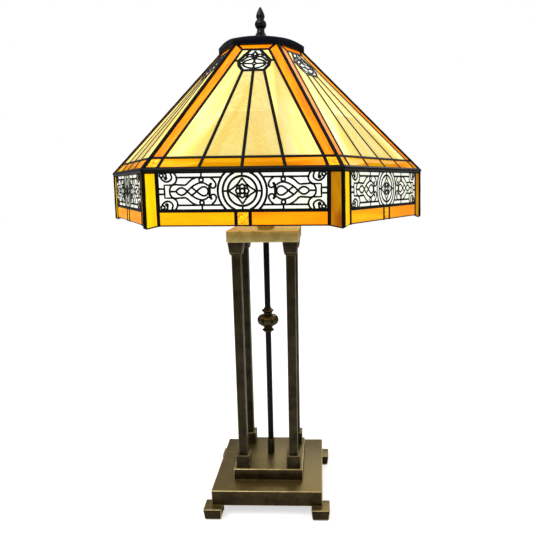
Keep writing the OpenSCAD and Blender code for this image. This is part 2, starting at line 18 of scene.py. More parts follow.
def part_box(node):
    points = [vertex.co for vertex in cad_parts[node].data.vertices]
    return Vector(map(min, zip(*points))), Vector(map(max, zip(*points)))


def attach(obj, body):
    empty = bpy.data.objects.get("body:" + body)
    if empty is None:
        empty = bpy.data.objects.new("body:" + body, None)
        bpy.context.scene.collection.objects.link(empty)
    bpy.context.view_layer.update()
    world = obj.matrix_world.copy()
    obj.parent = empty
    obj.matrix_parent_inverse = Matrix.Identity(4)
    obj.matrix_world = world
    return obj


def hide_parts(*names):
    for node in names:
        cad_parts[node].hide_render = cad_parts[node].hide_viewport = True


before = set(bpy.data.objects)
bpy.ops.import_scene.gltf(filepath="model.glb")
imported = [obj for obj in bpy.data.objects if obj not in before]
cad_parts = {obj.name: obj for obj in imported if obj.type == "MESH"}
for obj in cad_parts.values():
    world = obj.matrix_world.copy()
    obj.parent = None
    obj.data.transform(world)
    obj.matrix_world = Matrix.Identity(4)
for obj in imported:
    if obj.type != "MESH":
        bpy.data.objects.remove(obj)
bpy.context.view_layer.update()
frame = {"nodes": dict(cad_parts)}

MM = 0.001
FACES = 6
FACE_TURN = 360 / FACES
CORNERS = ("front_left", "front_right", "rear_left", "rear_right")
LOG = logging.getLogger("lamp")

Point = tuple[float, float]
Colour = tuple[float, float, float]
Seen = tuple[int, int, int]


class Body(Enum):
    """The lamp's rigid bodies, by their names in the record."""

    BASE = "base"
    BULB_LEFT = "bulb_left"
    BULB_RIGHT = "bulb_right"
    SHADE = "shade"
    HEAT_CAP = "heat_cap"
    FINIAL = "finial"


class Side(Enum):
    """Left or right of a middle line, as the sign of X."""

    LEFT = -1
    RIGHT = 1


def linear(seen: Seen) -> Colour:
    """Turns a colour as it is seen into the linear one that shaders take.

    Args:
        seen: Red, green and blue, each 0 to 255.

    Returns:
        The linear colour.
    """
    shares = [c / 255 for c in seen]
    return tuple(c / 12.92 if c <= 0.04045 else ((c + 0.055) / 1.055) ** 2.4 for c in shares)


# ---------- materials ----------
class Graph:
    """A material's node tree, with short ways to add nodes and join them."""

    def __init__(self, name: str) -> None:
        """Starts a material that holds one Principled shader.

        Args:
            name: The material's name.
        """
        self.material = bpy.data.materials.new(name)
        self.material.use_nodes = True
        self.tree = self.material.node_tree
        self.shader = self.tree.nodes["Principled BSDF"]

    def add(self, kind: str, inputs: Optional[dict] = None, **settings: object) -> bpy.types.Node:
        """Adds a node.

        Args:
            kind: The node's type, without the word ShaderNode.
            inputs: Values or output sockets for its inputs, by name or number.
            settings: The node's own properties.

        Returns:
            The new node.
        """
        node = self.tree.nodes.new("ShaderNode" + kind)
        for key, value in settings.items():
            setattr(node, key, value)
        for key, value in (inputs or {}).items():
            self.feed(node.inputs[key], value)
        return node

    def feed(self, socket: bpy.types.NodeSocket, value: object) -> None:
        """Joins an output to a socket, or sets the socket's own value.

        Args:
            socket: The input to fill.
            value: An output socket, a number or a colour.
        """
        if isinstance(value, bpy.types.NodeSocket):
            self.tree.links.new(value, socket)
        elif isinstance(value, tuple) and len(value) == 3 and socket.type == "RGBA":
            socket.default_value = (*value, 1)
        else:
            socket.default_value = value

    def set(self, **values: object) -> None:
        """Sets or joins the shader's inputs; an underscore stands for a space.

        Args:
            values: A value or an output socket for each input.
        """
        for key, value in values.items():
            self.feed(self.shader.inputs[key.replace("_", " ")], value)

    def place(self, scale: Sequence[float], uv: str = "") -> bpy.types.NodeSocket:
        """Gives scaled coordinates.

        Args:
            scale: Pattern repeats per metre along each axis.
            uv: A UV map's name, or nothing for Object coordinates.

        Returns:
            The vector output.
        """
        source = self.add("UVMap", uv_map=uv).outputs[0] if uv else self.add("TexCoord").outputs["Object"]
        return self.add("Mapping", {"Vector": source, "Scale": scale}).outputs[0]

    def noise(self, where: bpy.types.NodeSocket, detail: float = 3, rough: float = 0.55,
              bend: float = 0) -> bpy.types.NodeSocket:
        """Adds a noise that has about one blotch per unit of its coordinates.

        Args:
            where: The coordinates.
            detail: Octaves.
            rough: How strong the fine octaves are.
            bend: Distortion.

        Returns:
            The noise's value, 0 to 1.
        """
        return self.add("TexNoise", {"Vector": where, "Scale": 1.0, "Detail": detail, "Roughness": rough,
                                     "Distortion": bend}).outputs[0]

    def ramp(self, value: bpy.types.NodeSocket,
             stops: Sequence[tuple[float, object]]) -> bpy.types.NodeSocket:
        """Turns a value into a colour or grey.

        Args:
            value: The value, 0 to 1.
            stops: Place and colour, or place and grey, of each stop.

        Returns:
            The colour output.
        """
        node = self.add("ValToRGB", {"Fac": value})
        band = node.color_ramp.elements
        while len(band) < len(stops):
            band.new(0.5)
        for stop, (at, tone) in zip(band, stops):
            stop.position = at
            stop.color = (*tone, 1) if isinstance(tone, tuple) else (tone, tone, tone, 1)
        return node.outputs[0]

    def mix(self, amount: object, low: object, high: object, blend: str = "MIX") -> bpy.types.NodeSocket:
        """Mixes two colours.

        Args:
            amount: How much of the second.
            low: The first colour.
            high: The second colour.
            blend: The blend mode.

        Returns:
            The mixed colour.
        """
        node = self.add("Mix", data_type="RGBA", blend_type=blend)
        self.feed(node.inputs[0], amount)
        self.feed(node.inputs[6], low)
        self.feed(node.inputs[7], high)
        return node.outputs[2]

    def maths(self, job: str, first: object, second: object = 0.0) -> bpy.types.NodeSocket:
        """Works out a value, kept within 0 and 1.

        Args:
            job: The operation.
            first: Its first value.
            second: Its second value.

        Returns:
            The result.
        """
        return self.add("Math", {0: first, 1: second}, operation=job, use_clamp=True).outputs[0]

    def bump(self, height: bpy.types.NodeSocket, strength: float, reach: float) -> None:
        """Gives the surface relief.

        Args:
            height: The height, 0 to 1.
            strength: How strong it looks.
            reach: The height that 1 stands for, in metres.
        """
        node = self.add("Bump", {"Height": height, "Strength": strength, "Distance": reach})
        self.set(Normal=node.outputs[0])


@dataclass(frozen=True)
class Metal:
    """A painted or bare metal, with mottling, brush marks, abraded edges with a painted highlight, and
    painted top light.

    Attributes:
        name: The finish's name.
        deep: The darker mottling.
        main: The general colour.
        rubbed_and_highlight: The colour on the edges, partly abraded metal and partly a painted highlight.
        top: The colour of the painted top light, on faces that look up, as if lit from above.
        metallic: How metallic it is.
        rough: Its roughness.
        painted_top_light: How much of the top colour, painted top light, faces that look up take.
        wear_and_highlight: How much of the edge colour the edges take, abrasion and painted highlight.
        brush: Brush marks per metre along X, Y and Z.
        relief: Strength of the bump.
        coat: Weight of the clear coat.
        shine: Strength of the reflection on its dull parts.
    """

    name: str
    deep: Seen
    main: Seen
    rubbed_and_highlight: Seen
    top: Seen
    metallic: float = 0.7
    rough: float = 0.42
    painted_top_light: float = 0.0
    wear_and_highlight: float = 0.6
    brush: tuple[float, float, float] = (300, 300, 300)
    relief: float = 0.15
    coat: float = 0.0
    shine: float = 0.5

    def make(self) -> bpy.types.Material:
        """Builds the material.

        Returns:
            The material.
        """
        graph = Graph(self.name)
        blotch = graph.noise(graph.place((60, 60, 60)), 4, 0.6, 0.4)
        marks = graph.noise(graph.place(self.brush), 3, 0.6)
        colour = graph.ramp(blotch, [(0.3, linear(self.deep)), (0.68, linear(self.main))])
        grain = graph.ramp(marks, [(0.25, 0.72), (0.75, 1.0)])
        colour = graph.mix(1.0, colour, grain, "MULTIPLY")
        # Faces that look up take the top colour: painted top light, patchy along the brush marks.
        facing = graph.add("SeparateXYZ", {0: graph.add("NewGeometry").outputs["Normal"]}).outputs[2]
        painted_top_light_mask = graph.maths("MULTIPLY", graph.maths("MAXIMUM", facing, 0.0), self.painted_top_light)
        patchy_painted_top_light = graph.maths("MULTIPLY", painted_top_light_mask, graph.ramp(marks, [(0.2, 0.55), (0.7, 1.0)]))
        # Marked edges take the edge colour: partly abrasion, partly a painted highlight.
        edge = graph.add("Attribute", attribute_name="rub").outputs["Fac"]
        spotty = graph.ramp(blotch, [(0.25, 0.35 * self.wear_and_highlight), (0.6, self.wear_and_highlight)])
        worn_and_highlight = graph.maths("MULTIPLY", edge, spotty)
        colour = graph.mix(worn_and_highlight, graph.mix(patchy_painted_top_light, colour, linear(self.top)), linear(self.rubbed_and_highlight))
        low, high = self.rough * 0.8, min(1.0, self.rough * 1.25)
        graph.set(Base_Color=colour, Metallic=self.metallic, Coat_Weight=self.coat, Coat_Roughness=0.12,
                  Specular_IOR_Level=self.shine,
                  Roughness=graph.ramp(marks, [(0.2, low), (0.8, high)]))
        graph.bump(marks, self.relief, 0.0004)
        return graph.material


@dataclass(frozen=True)
class Glass:
    """Streaky lit glass, one tone to a pane.

    Attributes:
        name: The finish's name.
        deep: The strongest colour in the streaks.
        main: The general colour.
        pale: The lightest streaks.
        other: The colour that panes of a high tone lean to.
        glow: Emission strength, a painted glow that stands for the bulbs' light through the glass.
        streak: Streaks per metre across and along.
        swirl: How much the streaks curl.
        stops: Where the three colours lie in the noise.
    """

    name: str
    deep: Seen
    main: Seen
    pale: Seen
    other: Seen
    glow: float = 0.5
    streak: tuple[float, float, float] = (70, 14, 40)
    swirl: float = 0.6
    stops: tuple[float, float, float] = (0.32, 0.5, 0.7)

    def make(self) -> bpy.types.Material:
        """Builds the material.

        Returns:
            The material.
        """
        graph = Graph(self.name)
        flow = graph.noise(graph.place(self.streak, "streak"), 4, 0.5, self.swirl)
        tints = (linear(c) for c in (self.deep, self.main, self.pale))
        colour = graph.ramp(flow, list(zip(self.stops, tints)))
        tone = graph.add("Attribute", attribute_name="tone").outputs["Fac"]
        wisp = graph.noise(graph.place((26, 9, 20), "streak"), 2, 0.5, 1.0)
        lean = graph.maths("MULTIPLY", tone, graph.ramp(wisp, [(0.3, 0.55), (0.65, 1.0)]))
        colour = graph.mix(lean, colour, linear(self.other))
        # The emission is a painted glow: the bulbs' light shining through the glass.
        graph.set(Base_Color=colour, Emission_Color=colour, Emission_Strength=self.glow, Roughness=0.32,
                  Specular_IOR_Level=0.2, Coat_Weight=0.06, Coat_Roughness=0.06, IOR=1.45)
        ripple = graph.noise(graph.place((160, 60, 100), "streak"), 2, 0.5, 0.8)
        graph.bump(ripple, 0.12, 0.0006)
        return graph.material


@dataclass(frozen=True)
class Plain:
    """A fine-grained finish that isn't metal: felt, plastic, porcelain, or frosted glass.

    Attributes:
        name: The finish's name.
        dark: The darker specks.
        light: The general colour.
        rough: Its roughness.
        grain: Specks per metre.
        relief: Strength of the bump.
        glow: Emission strength.
        fuzz: Weight of the sheen.
    """

    name: str
    dark: Seen
    light: Seen
    rough: float
    grain: float
    relief: float = 0.1
    glow: float = 0.0
    fuzz: float = 0.0

    def make(self) -> bpy.types.Material:
        """Builds the material.

        Returns:
            The material.
        """
        graph = Graph(self.name)
        specks = graph.noise(graph.place((self.grain,) * 3), 3)
        colour = graph.ramp(specks, [(0.3, linear(self.dark)), (0.65, linear(self.light))])
        graph.set(Base_Color=colour, Roughness=self.rough, Sheen_Weight=self.fuzz)
        if self.glow:
            graph.set(Emission_Color=colour, Emission_Strength=self.glow)
        graph.bump(specks, self.relief, 0.0002)
        return graph.material


FINISHES = {f.name: f for f in (
    Metal("antique_bronze", (44, 36, 20), (76, 63, 38), (232, 212, 158), (136, 120, 74),
          metallic=0.85, rough=0.38, painted_top_light=0.95, wear_and_highlight=0.9, brush=(25, 25, 700), relief=0.2),
    Metal("knop_bronze", (48, 42, 24), (92, 84, 56), (190, 176, 130), (120, 110, 76),
          metallic=0.95, rough=0.24, painted_top_light=0.4, wear_and_highlight=0.5, relief=0.25),
    # A lighter copy of the bronze for the slab: painted light from the lamp.
    Metal("slab_bronze", (166, 150, 84), (216, 198, 124), (242, 230, 172), (220, 214, 166),
          metallic=0.85, rough=0.38, painted_top_light=0.95, wear_and_highlight=0.8, brush=(22, 22, 700), relief=0.2),
    # A paler copy of the bronze for the neck: painted light from the lamp inside the shade.
    Metal("lamp_lit_pale_bronze", (176, 152, 84), (214, 188, 116), (240, 220, 160), (236, 214, 154),
          painted_top_light=0.9, relief=0.2),
    Metal("dark_bronze", (40, 35, 23), (72, 65, 44), (178, 158, 112), (108, 96, 58),
          metallic=0.85, rough=0.38, painted_top_light=0.9, wear_and_highlight=0.4, brush=(700, 700, 30), relief=0.2),
    Metal("cast_iron", (24, 24, 26), (44, 44, 46), (70, 70, 72), (50, 50, 52),
          metallic=0.5, rough=0.7, wear_and_highlight=0.0, brush=(400, 400, 400), relief=0.6),
    Metal("black_sheet", (2, 4, 12), (6, 10, 24), (56, 66, 90), (10, 15, 32),
          metallic=0.3, rough=0.4, painted_top_light=0.5, wear_and_highlight=0.4, brush=(90, 90, 90), relief=0.08, coat=0.04,
          shine=0.16),
    Metal("black_tube", (3, 3, 3), (12, 11, 8), (50, 46, 34), (20, 18, 12),
          metallic=0.4, rough=0.34, painted_top_light=0.2, wear_and_highlight=0.5, brush=(300, 300, 40), relief=0.08, coat=0.05,
          shine=0.3),
    Metal("black_cast", (2, 2, 3), (14, 15, 18), (90, 94, 100), (34, 36, 40),
          metallic=0.3, rough=0.34, painted_top_light=0.3, wear_and_highlight=0.5, brush=(420, 420, 420), relief=0.6, coat=0.1,
          shine=0.35),
    Metal("black_lead", (2, 2, 3), (8, 8, 10), (44, 46, 50), (18, 19, 22),
          metallic=0.4, painted_top_light=0.3, wear_and_highlight=0.5, brush=(260, 260, 260), relief=0.35, shine=0.2),
    Metal("patinated_bar", (3, 4, 4), (11, 13, 11), (60, 66, 58), (22, 26, 22),
          metallic=0.4, painted_top_light=0.5, wear_and_highlight=0.4, brush=(60, 260, 260), relief=0.4, shine=0.25),
    Metal("black_filigree", (2, 2, 2), (8, 7, 6), (40, 36, 28), (14, 12, 10),
          metallic=0.3, rough=0.5, painted_top_light=0.2, wear_and_highlight=0.5, brush=(500, 500, 500), relief=0.3, shine=0.2),
    Metal("steel", (120, 122, 124), (170, 172, 174), (200, 200, 200), (180, 182, 184),
          metallic=1.0, rough=0.3, wear_and_highlight=0.0, brush=(500, 500, 60), relief=0.1),
    Metal("brass", (150, 112, 48), (196, 156, 80), (222, 190, 120), (206, 168, 92),
          metallic=1.0, rough=0.28, wear_and_highlight=0.5, brush=(60, 500, 500), relief=0.1),
    Plain("felt", (22, 22, 22), (46, 46, 46), rough=0.95, grain=2500, relief=0.5, fuzz=0.4),
    Plain("porcelain", (214, 210, 200), (238, 236, 228), rough=0.22, grain=120),
    Plain("black_plastic", (14, 14, 15), (30, 30, 32), rough=0.45, grain=900, relief=0.15),
    Plain("frosted_glass", (240, 214, 168), (248, 228, 190), rough=0.5, grain=240, glow=0.4),
    Glass("cream_glass", (255, 220, 104), (255, 236, 134), (255, 247, 176), (255, 218, 134),
          glow=0.74, streak=(60, 9, 40), swirl=0.7),
    Glass("amber_glass", (236, 116, 0), (250, 144, 0), (255, 170, 0), (236, 112, 0),
          glow=0.68, streak=(110, 16, 60), swirl=0.5),
    Glass("honey_glass", (248, 172, 0), (254, 196, 0), (255, 214, 8), (128, 44, 0),
          glow=0.66, streak=(130, 10, 60)),
    Glass("border_glass", (244, 150, 0), (253, 177, 0), (255, 196, 0), (248, 124, 0),
          glow=0.66, streak=(110, 14, 60)),
    Glass("mottled_glass", (190, 70, 0), (252, 178, 2), (255, 224, 40), (214, 100, 2),
          glow=0.6, streak=(260, 200, 200), swirl=2.6, stops=(0.34, 0.48, 0.62)),
    Glass("milk_glass", (242, 244, 218), (252, 252, 242), (255, 255, 252), (246, 249, 230),
          glow=0.56, streak=(40, 24, 40), swirl=0.8),
)}
_MADE: dict[str, bpy.types.Material] = {}


def finish(name: str) -> bpy.types.Material:
    """Gives a finish's material, made once.

    Args:
        name: The finish's name.

    Returns:
        The material.
    """
    if name not in _MADE:
        _MADE[name] = FINISHES[name].make()
    return _MADE[name]


# ---------- making pieces ----------
def place(matrix: Matrix, mesh: bmesh.types.BMesh, verts: Optional[Iterable] = None) -> None:
    """Moves vertices by a matrix.

    Args:
        matrix: The move.
        mesh: The mesh that is edited.
        verts: The vertices, or nothing for all of them.
    """
    bmesh.ops.transform(mesh, matrix=matrix, verts=list(mesh.verts if verts is None else verts))


def piece(name: str, mesh: bmesh.types.BMesh, body: Body, coat: str, stands_for: Sequence[str],
          crease: float = 32) -> bpy.types.Object:
    """Finishes a mesh as an object that rides on a body.

    Args:
        name: The object's name.
        mesh: The mesh, in millimetres and in its place; it is freed.
        body: The body that it rides on.
        coat: Its finish.
        stands_for: CAD nodes that it replaces.
        crease: Edges sharper than this, in degrees, stay sharp.

    Returns:
        The object.
    """
    bmesh.ops.remove_doubles(mesh, verts=mesh.verts, dist=0.001)
    bmesh.ops.recalc_face_normals(mesh, faces=mesh.faces)
    place(Matrix.Scale(MM, 4), mesh)
    for surface in mesh.faces:
        surface.smooth = True
    for edge in mesh.edges:
        edge.smooth = edge.calc_face_angle(0.0) < math.radians(crease)
    data = bpy.data.meshes.new(name)
    mesh.to_mesh(data)
    mesh.free()
    data.materials.append(finish(coat))
    thing = bpy.data.objects.new(name, data)
    bpy.context.scene.collection.objects.link(thing)
    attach(thing, body.value)
    if stands_for:
        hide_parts(*stands_for)
    LOG.info("%s: %d faces on %s", name, len(data.polygons), body.value)
    return thing


def millimetre_box(node: str) -> tuple[Vector, Vector]:
    """Gives a CAD node's box.

    Args:
        node: The node's name.

    Returns:
        Its lowest and highest corners, in millimetres.
    """
    low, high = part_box(node)
    return low / MM, high / MM


def rounded_block(mesh: bmesh.types.BMesh, low: Vector, high: Vector, rounding: float,
                  foot_scale: float = 1.0, segments: int = 3) -> None:
    """Adds a block with rounded edges that take the edge colour of abrasion and painted highlight.

    Args:
        mesh: The mesh that it joins.
        low: Its lowest corner.
        high: Its highest corner.
        rounding: Width of the rounded edges.
        foot_scale: Width at the bottom over width at the top.
        segments: Steps in the rounding.
    """
    rub = mesh.faces.layers.float.get("rub") or mesh.faces.layers.float.new("rub")
    made = bmesh.ops.create_cube(mesh, size=1.0)["verts"]
    middle, size = (low + high) / 2, high - low
    for vert in made:
        narrow = foot_scale if vert.co.z < 0 else 1.0
        vert.co = middle + vert.co * size * Vector((narrow, narrow, 1))
    edges = list({e for v in made for e in v.link_edges})
    rounded = bmesh.ops.bevel(mesh, geom=edges, offset=rounding, segments=segments, profile=0.5, material=-1,
                              affect="EDGES", clamp_overlap=True)
    # The rounded faces are marked for the edge colour: abrasion and a painted highlight.
    for surface in rounded["faces"]:
        surface[rub] = 1.0


def block_piece(name: str, nodes: Sequence[str], rounding: float, coat: str,
                foot_scale: float = 1.0) -> None:
    """Makes one piece of rounded blocks, one in the box of each CAD node.

    Args:
        name: The piece's name.
        nodes: The CAD nodes that it stands for.
        rounding: Width of the rounded edges.
        coat: Its finish.
        foot_scale: Width at the bottom over width at the top.
    """
    mesh = bmesh.new()
    for node in nodes:
        rounded_block(mesh, *millimetre_box(node), rounding, foot_scale)
    piece(name, mesh, Body.BASE, coat, nodes)


def arc(centre: Point, radius: float, start: float, end: float, steps: int,
        squash: float = 1.0) -> list[Point]:
    """Gives the points of an arc.

    Args:
        centre: Its centre.
        radius: Its radius.
        start: Its first angle in degrees.
        end: Its last angle in degrees.
        steps: How many chords it has.
        squash: Its height over its width.

    Returns:
        The points, both ends included.
    """
    turns = [math.radians(start + (end - start) * i / steps) for i in range(steps + 1)]
    return [(centre[0] + radius * math.cos(a), centre[1] + radius * squash * math.sin(a)) for a in turns]


def lathe(mesh: bmesh.types.BMesh, profile: Sequence[Point], steps: int = 64, closed: bool = False) -> None:
    """Adds a turned shape round the Z axis.

    Args:
        mesh: The mesh that it joins.
        profile: Radius and height of each point.
        steps: How many facets go round.
        closed: Whether the last point joins the first, as on a hollow shape.
    """
    verts = [mesh.verts.new((max(r, 0.0), 0, z)) for r, z in profile]
    edges = [mesh.edges.new(pair) for pair in zip(verts, verts[1:])]
    if closed:
        edges.append(mesh.edges.new((verts[-1], verts[0])))
    bmesh.ops.spin(mesh, geom=verts + edges, cent=(0, 0, 0), axis=(0, 0, 1), dvec=(0, 0, 0),
                   angle=math.tau, steps=steps, use_merge=True)


def turned_piece(name: str, nodes: Sequence[str], profile: Sequence[Point], coat: str,
                 body: Body = Body.BASE, move: Matrix = Matrix.Identity(4), closed: bool = False,
                 steps: int = 64) -> bpy.types.Object:
    """Makes one turned piece.

    Args:
        name: The piece's name.
        nodes: The CAD nodes that it stands for.
        profile: Radius and height of each point.
        coat: Its finish.
        body: The body that it rides on.
        move: Where its axis goes.
        closed: Whether the profile is a ring.
        steps: How many facets go round.

    Returns:
        The object.
    """
    mesh = bmesh.new()
    lathe(mesh, profile, steps, closed)
    place(move, mesh)
    return piece(name, mesh, body, coat, nodes)


@dataclass(frozen=True)
class Strand:
    """A line in the flat of a panel that a wire or a lead follows.

    Attributes:
        points: The points that it passes.
        smooth: Whether it curves between them.
        closed: Whether it joins up.
    """

    points: tuple[Point, ...]
    smooth: bool = False
    closed: bool = False

    def flipped(self, across: int, up: int) -> "Strand":
        """Gives the strand with its coordinates multiplied by two signs.

        Args:
            across: Sign for the first coordinate.
            up: Sign for the second one.

        Returns:
            The new strand.
        """
        return Strand(tuple((across * u, up * v) for u, v in self.points), self.smooth, self.closed)


def line(*points: Point) -> Strand:
    """Gives a strand of straight stretches."""
    return Strand(points)


def curl(*points: Point) -> Strand:
    """Gives a strand that curves through its points."""
    return Strand(points, smooth=True)


def ring(centre: Point, radius: float, steps: int = 24) -> Strand:
    """Gives a round strand."""
    return Strand(tuple(arc(centre, radius, 0, 360, steps)[:-1]), closed=True)


def mirrored(strands: Iterable[Strand], across: bool = True, up: bool = True) -> list[Strand]:
    """Repeats strands on the other side of one or both middle lines.

    Args:
        strands: The strands of one side or quarter.
        across: Whether they are repeated left and right.
        up: Whether they are repeated above and below.

    Returns:
        All the strands.
    """
    signs = [(a, b) for a in ((1, -1) if across else (1,)) for b in ((1, -1) if up else (1,))]
    return [s.flipped(a, b) for s in strands for a, b in signs]


def wires(strands: Iterable[Strand], radius: float, height: float, facets: int = 2,
          shift: float = 0.0) -> bpy.types.Mesh:
    """Makes flat-backed wires along strands, in the flat of a panel.

    Args:
        strands: What they follow.
        radius: Half their width.
        height: Half their height.
        facets: Bevel resolution of their section.
        shift: Height of their middle over the panel's face.

    Returns:
        A mesh in the panel's own coordinates.
    """
    shape = bpy.data.curves.new("strands", "CURVE")
    shape.dimensions = "3D"
    shape.bevel_depth = radius
    shape.bevel_resolution = facets
    shape.resolution_u = 5
    shape.use_fill_caps = True
    for strand in strands:
        spline = shape.splines.new("BEZIER" if strand.smooth else "POLY")
        if strand.smooth:
            spline.bezier_points.add(len(strand.points) - 1)
            for knot, (u, v) in zip(spline.bezier_points, strand.points):
                knot.co = (u, v, 0)
                knot.handle_left_type = knot.handle_right_type = "AUTO"
        else:
            spline.points.add(len(strand.points) - 1)
            for knot, (u, v) in zip(spline.points, strand.points):
                knot.co = (u, v, 0, 1)
        spline.use_cyclic_u = strand.closed
    holder = bpy.data.objects.new("strands", shape)
    bpy.context.scene.collection.objects.link(holder)
    bpy.context.view_layer.update()
    mesh = bpy.data.meshes.new_from_object(holder.evaluated_get(bpy.context.evaluated_depsgraph_get()))
    bpy.data.objects.remove(holder)
    bpy.data.curves.remove(shape)
    mesh.transform(Matrix.Translation((0, 0, shift)) @ Matrix.Diagonal((1, 1, height / radius, 1)))
    return mesh


def drop(mesh: bmesh.types.BMesh, centre: tuple[float, float, float], radius: float, height: float) -> None:
    """Adds a flattened drop of solder or cast metal.

    Args:
        mesh: The mesh that it joins.
        centre: Its middle.
        radius: Half its width.
        height: Half its height.
    """
    matrix = Matrix.Translation(centre) @ Matrix.Diagonal((radius, radius, height, 1))
    bmesh.ops.create_icosphere(mesh, subdivisions=2, radius=1.0, matrix=matrix)


def joined(parts: Iterable[tuple[bpy.types.Mesh, Matrix]]) -> bmesh.types.BMesh:
    """Joins moved copies of meshes.

    Args:
        parts: Each mesh and where it goes.

    Returns:
        One mesh.
    """
    whole = bmesh.new()
    for source, matrix in parts:
        before = len(whole.verts)
        whole.from_mesh(source)
        whole.verts.ensure_lookup_table()
        place(matrix, whole, whole.verts[before:])
    return whole


# ---------- the stand ----------
@dataclass
class Stand:
    """The base box, its feet, the plinth, four square columns with shoes and capitals, and the slab on them.

    Attributes:
        edge: Rounding of the big pieces.
        fine_edge: Rounding of the columns.
        wall: Thickness of the base box.
        foot_narrow: A foot's width at the bottom over its width at the top.
        chin: Height of a capital's lower flare.
        capital_foot: A capital's width over its box, at the bottom.
        capital_mid: The same where the lower flare ends.
        chin_edge: Rounding of a capital's lower flare.
        capital_edge: Rounding of its upper flare.
    """

    edge: float = 1.0
    fine_edge: float = 0.8
    wall: float = 4.0
    foot_narrow: float = 0.88
    chin: float = 3.0
    capital_foot: float = 0.657
    capital_mid: float = 0.838
    chin_edge: float = 0.5
    capital_edge: float = 0.7

    def base_box(self) -> None:
        """Makes the base box, open below."""
        mesh = bmesh.new()
        low, high = millimetre_box("base_shell")
        rounded_block(mesh, low, high, self.edge)
        bottom = min(mesh.faces, key=lambda f: f.calc_center_median().z)
        bmesh.ops.inset_region(mesh, faces=[bottom], thickness=self.wall - self.edge, use_even_offset=True)
        deep = bmesh.ops.extrude_face_region(mesh, geom=[bottom])["geom"]
        inner = [g for g in deep if isinstance(g, bmesh.types.BMVert)]
        bmesh.ops.delete(mesh, geom=[bottom], context="FACES_ONLY")
        bmesh.ops.translate(mesh, verts=inner, vec=(0, 0, high.z - low.z - self.wall))
        piece("base_box", mesh, Body.BASE, "antique_bronze", ["base_shell"])

    def corner_blocks(self, node: str) -> list[tuple[Vector, Vector]]:
        """Gives the boxes of a node that has one like solid over each column.

        Args:
            node: The CAD node.

        Returns:
            The low and high corners of its four solids.
        """
        low, high = millimetre_box(node)
        boxes = []
        for corner in CORNERS:
            a, b = millimetre_box(f"column_{corner}")
            middle = (a + b) / 2
            half = high.x - abs(middle.x)
            boxes.append((Vector((middle.x - half, middle.y - half, low.z)),
                          Vector((middle.x + half, middle.y + half, high.z))))
        return boxes

    def shoes(self) -> None:
        """Makes the four square shoes under the columns."""
        mesh = bmesh.new()
        for low, high in self.corner_blocks("column_shoes"):
            rounded_block(mesh, low, high, self.fine_edge)
        piece("shoe_blocks", mesh, Body.BASE, "dark_bronze", ["column_shoes"])

    def capitals(self) -> None:
        """Makes the four capitals, each with a short lower flare and a long upper one."""
        mesh = bmesh.new()
        for low, high in self.corner_blocks("column_capitals"):
            middle = (low + high) / 2
            half = (high.x - low.x) / 2
            step = low.z + self.chin
            waist = Vector((half * self.capital_mid, half * self.capital_mid, 0))
            flat = Vector((middle.x, middle.y, 0))
            rounded_block(mesh, flat - waist + Vector((0, 0, low.z)), flat + waist + Vector((0, 0, step)),
                          self.chin_edge, self.capital_foot / self.capital_mid, 2)
            rounded_block(mesh, Vector((low.x, low.y, step)), high, self.capital_edge, self.capital_mid, 2)
        piece("capital_blocks", mesh, Body.BASE, "dark_bronze", ["column_capitals"])

    def build(self) -> None:
        """Makes every piece of the stand."""
        self.base_box()
        for corner in CORNERS:
            block_piece(f"foot_block_{corner}", [f"foot_{corner}"], self.fine_edge, "antique_bronze",
                        self.foot_narrow)
        block_piece("plinth_block", ["plinth"], self.edge, "antique_bronze")
        for corner in CORNERS:
            block_piece(f"column_bar_{corner}", [f"column_{corner}"], self.fine_edge, "dark_bronze")
        self.shoes()
        self.capitals()
        # The slab takes a lighter bronze: painted light from the lamp.
        block_piece("slab", ["top_slab"], self.edge, "slab_bronze")


# ---------- the stem ----------
@dataclass
class Stem:
    """The tube up the middle, its ferrule and knop, and the neck over the slab.

    Attributes:
        bore: Radius of the tube's bore.
        bead: Rounding where a ferrule or neck ends.
        slide_r: Radius of the bore of what slides over the tube.
    """

    bore: float = 3.0
    bead: float = 1.2
    slide_r: float = 4.1

    def sleeve(self, name: str, node: str, coat: str, bore: float) -> None:
        """Makes a round sleeve in a CAD node's box, with rounded ends.

        Args:
            name: The piece's name.
            node: The CAD node.
            coat: Its finish.
            bore: Radius of its bore.
        """
        low, high = millimetre_box(node)
        outer = (high.x - low.x) / 2
        b = min(self.bead, (outer - bore) / 2)
        top = arc((outer - b, high.z - b), b, 0, 90, 4)
        foot = arc((outer - b, low.z + b), b, -90, 0, 4)
        profile = [(bore, low.z), *foot, *top, (bore, high.z)]
        turned_piece(name, [node], profile, coat, closed=True)

    def knop(self) -> None:
        """Makes the turned knop half-way up the tube."""
        _, high = millimetre_box("centre_knop")
        bottom = [(self.slide_r, -16.6), (6, -16.6), (8.2, -14.6), (8.2, -13.8), (6.2, -12), (5.7, -10)]
        top = [(7.2, 7.6), (5.9, 8.8), (5.7, 10.6), (8.3, 13.2), (8.3, 14.2), (5.4, 15.8), (5, 17.6),
               (self.slide_r, 17.6)]
        ball = arc((8, 0), 6.8, -50, 60, 16, 7.4 / 6.8)
        middle = high.z - top[-1][1]
        profile = [(r, z + middle) for r, z in [*bottom, *ball, *top]]
        turned_piece("knop", ["centre_knop"], profile, "knop_bronze", closed=True,
                     steps=96)

    def build(self) -> None:
        """Makes every piece of the stem."""
        self.sleeve("middle_tube", "centre_tube", "black_tube", self.bore)
        self.sleeve("ferrule", "tube_ferrule", "dark_bronze", self.slide_r)
        self.knop()
        # The neck takes a paler bronze: painted light from the lamp inside the shade.
        self.sleeve("neck", "neck_flange", "lamp_lit_pale_bronze", self.slide_r)
        self.sleeve("neck_sleeve", "stem_sleeve", "antique_bronze", self.slide_r)


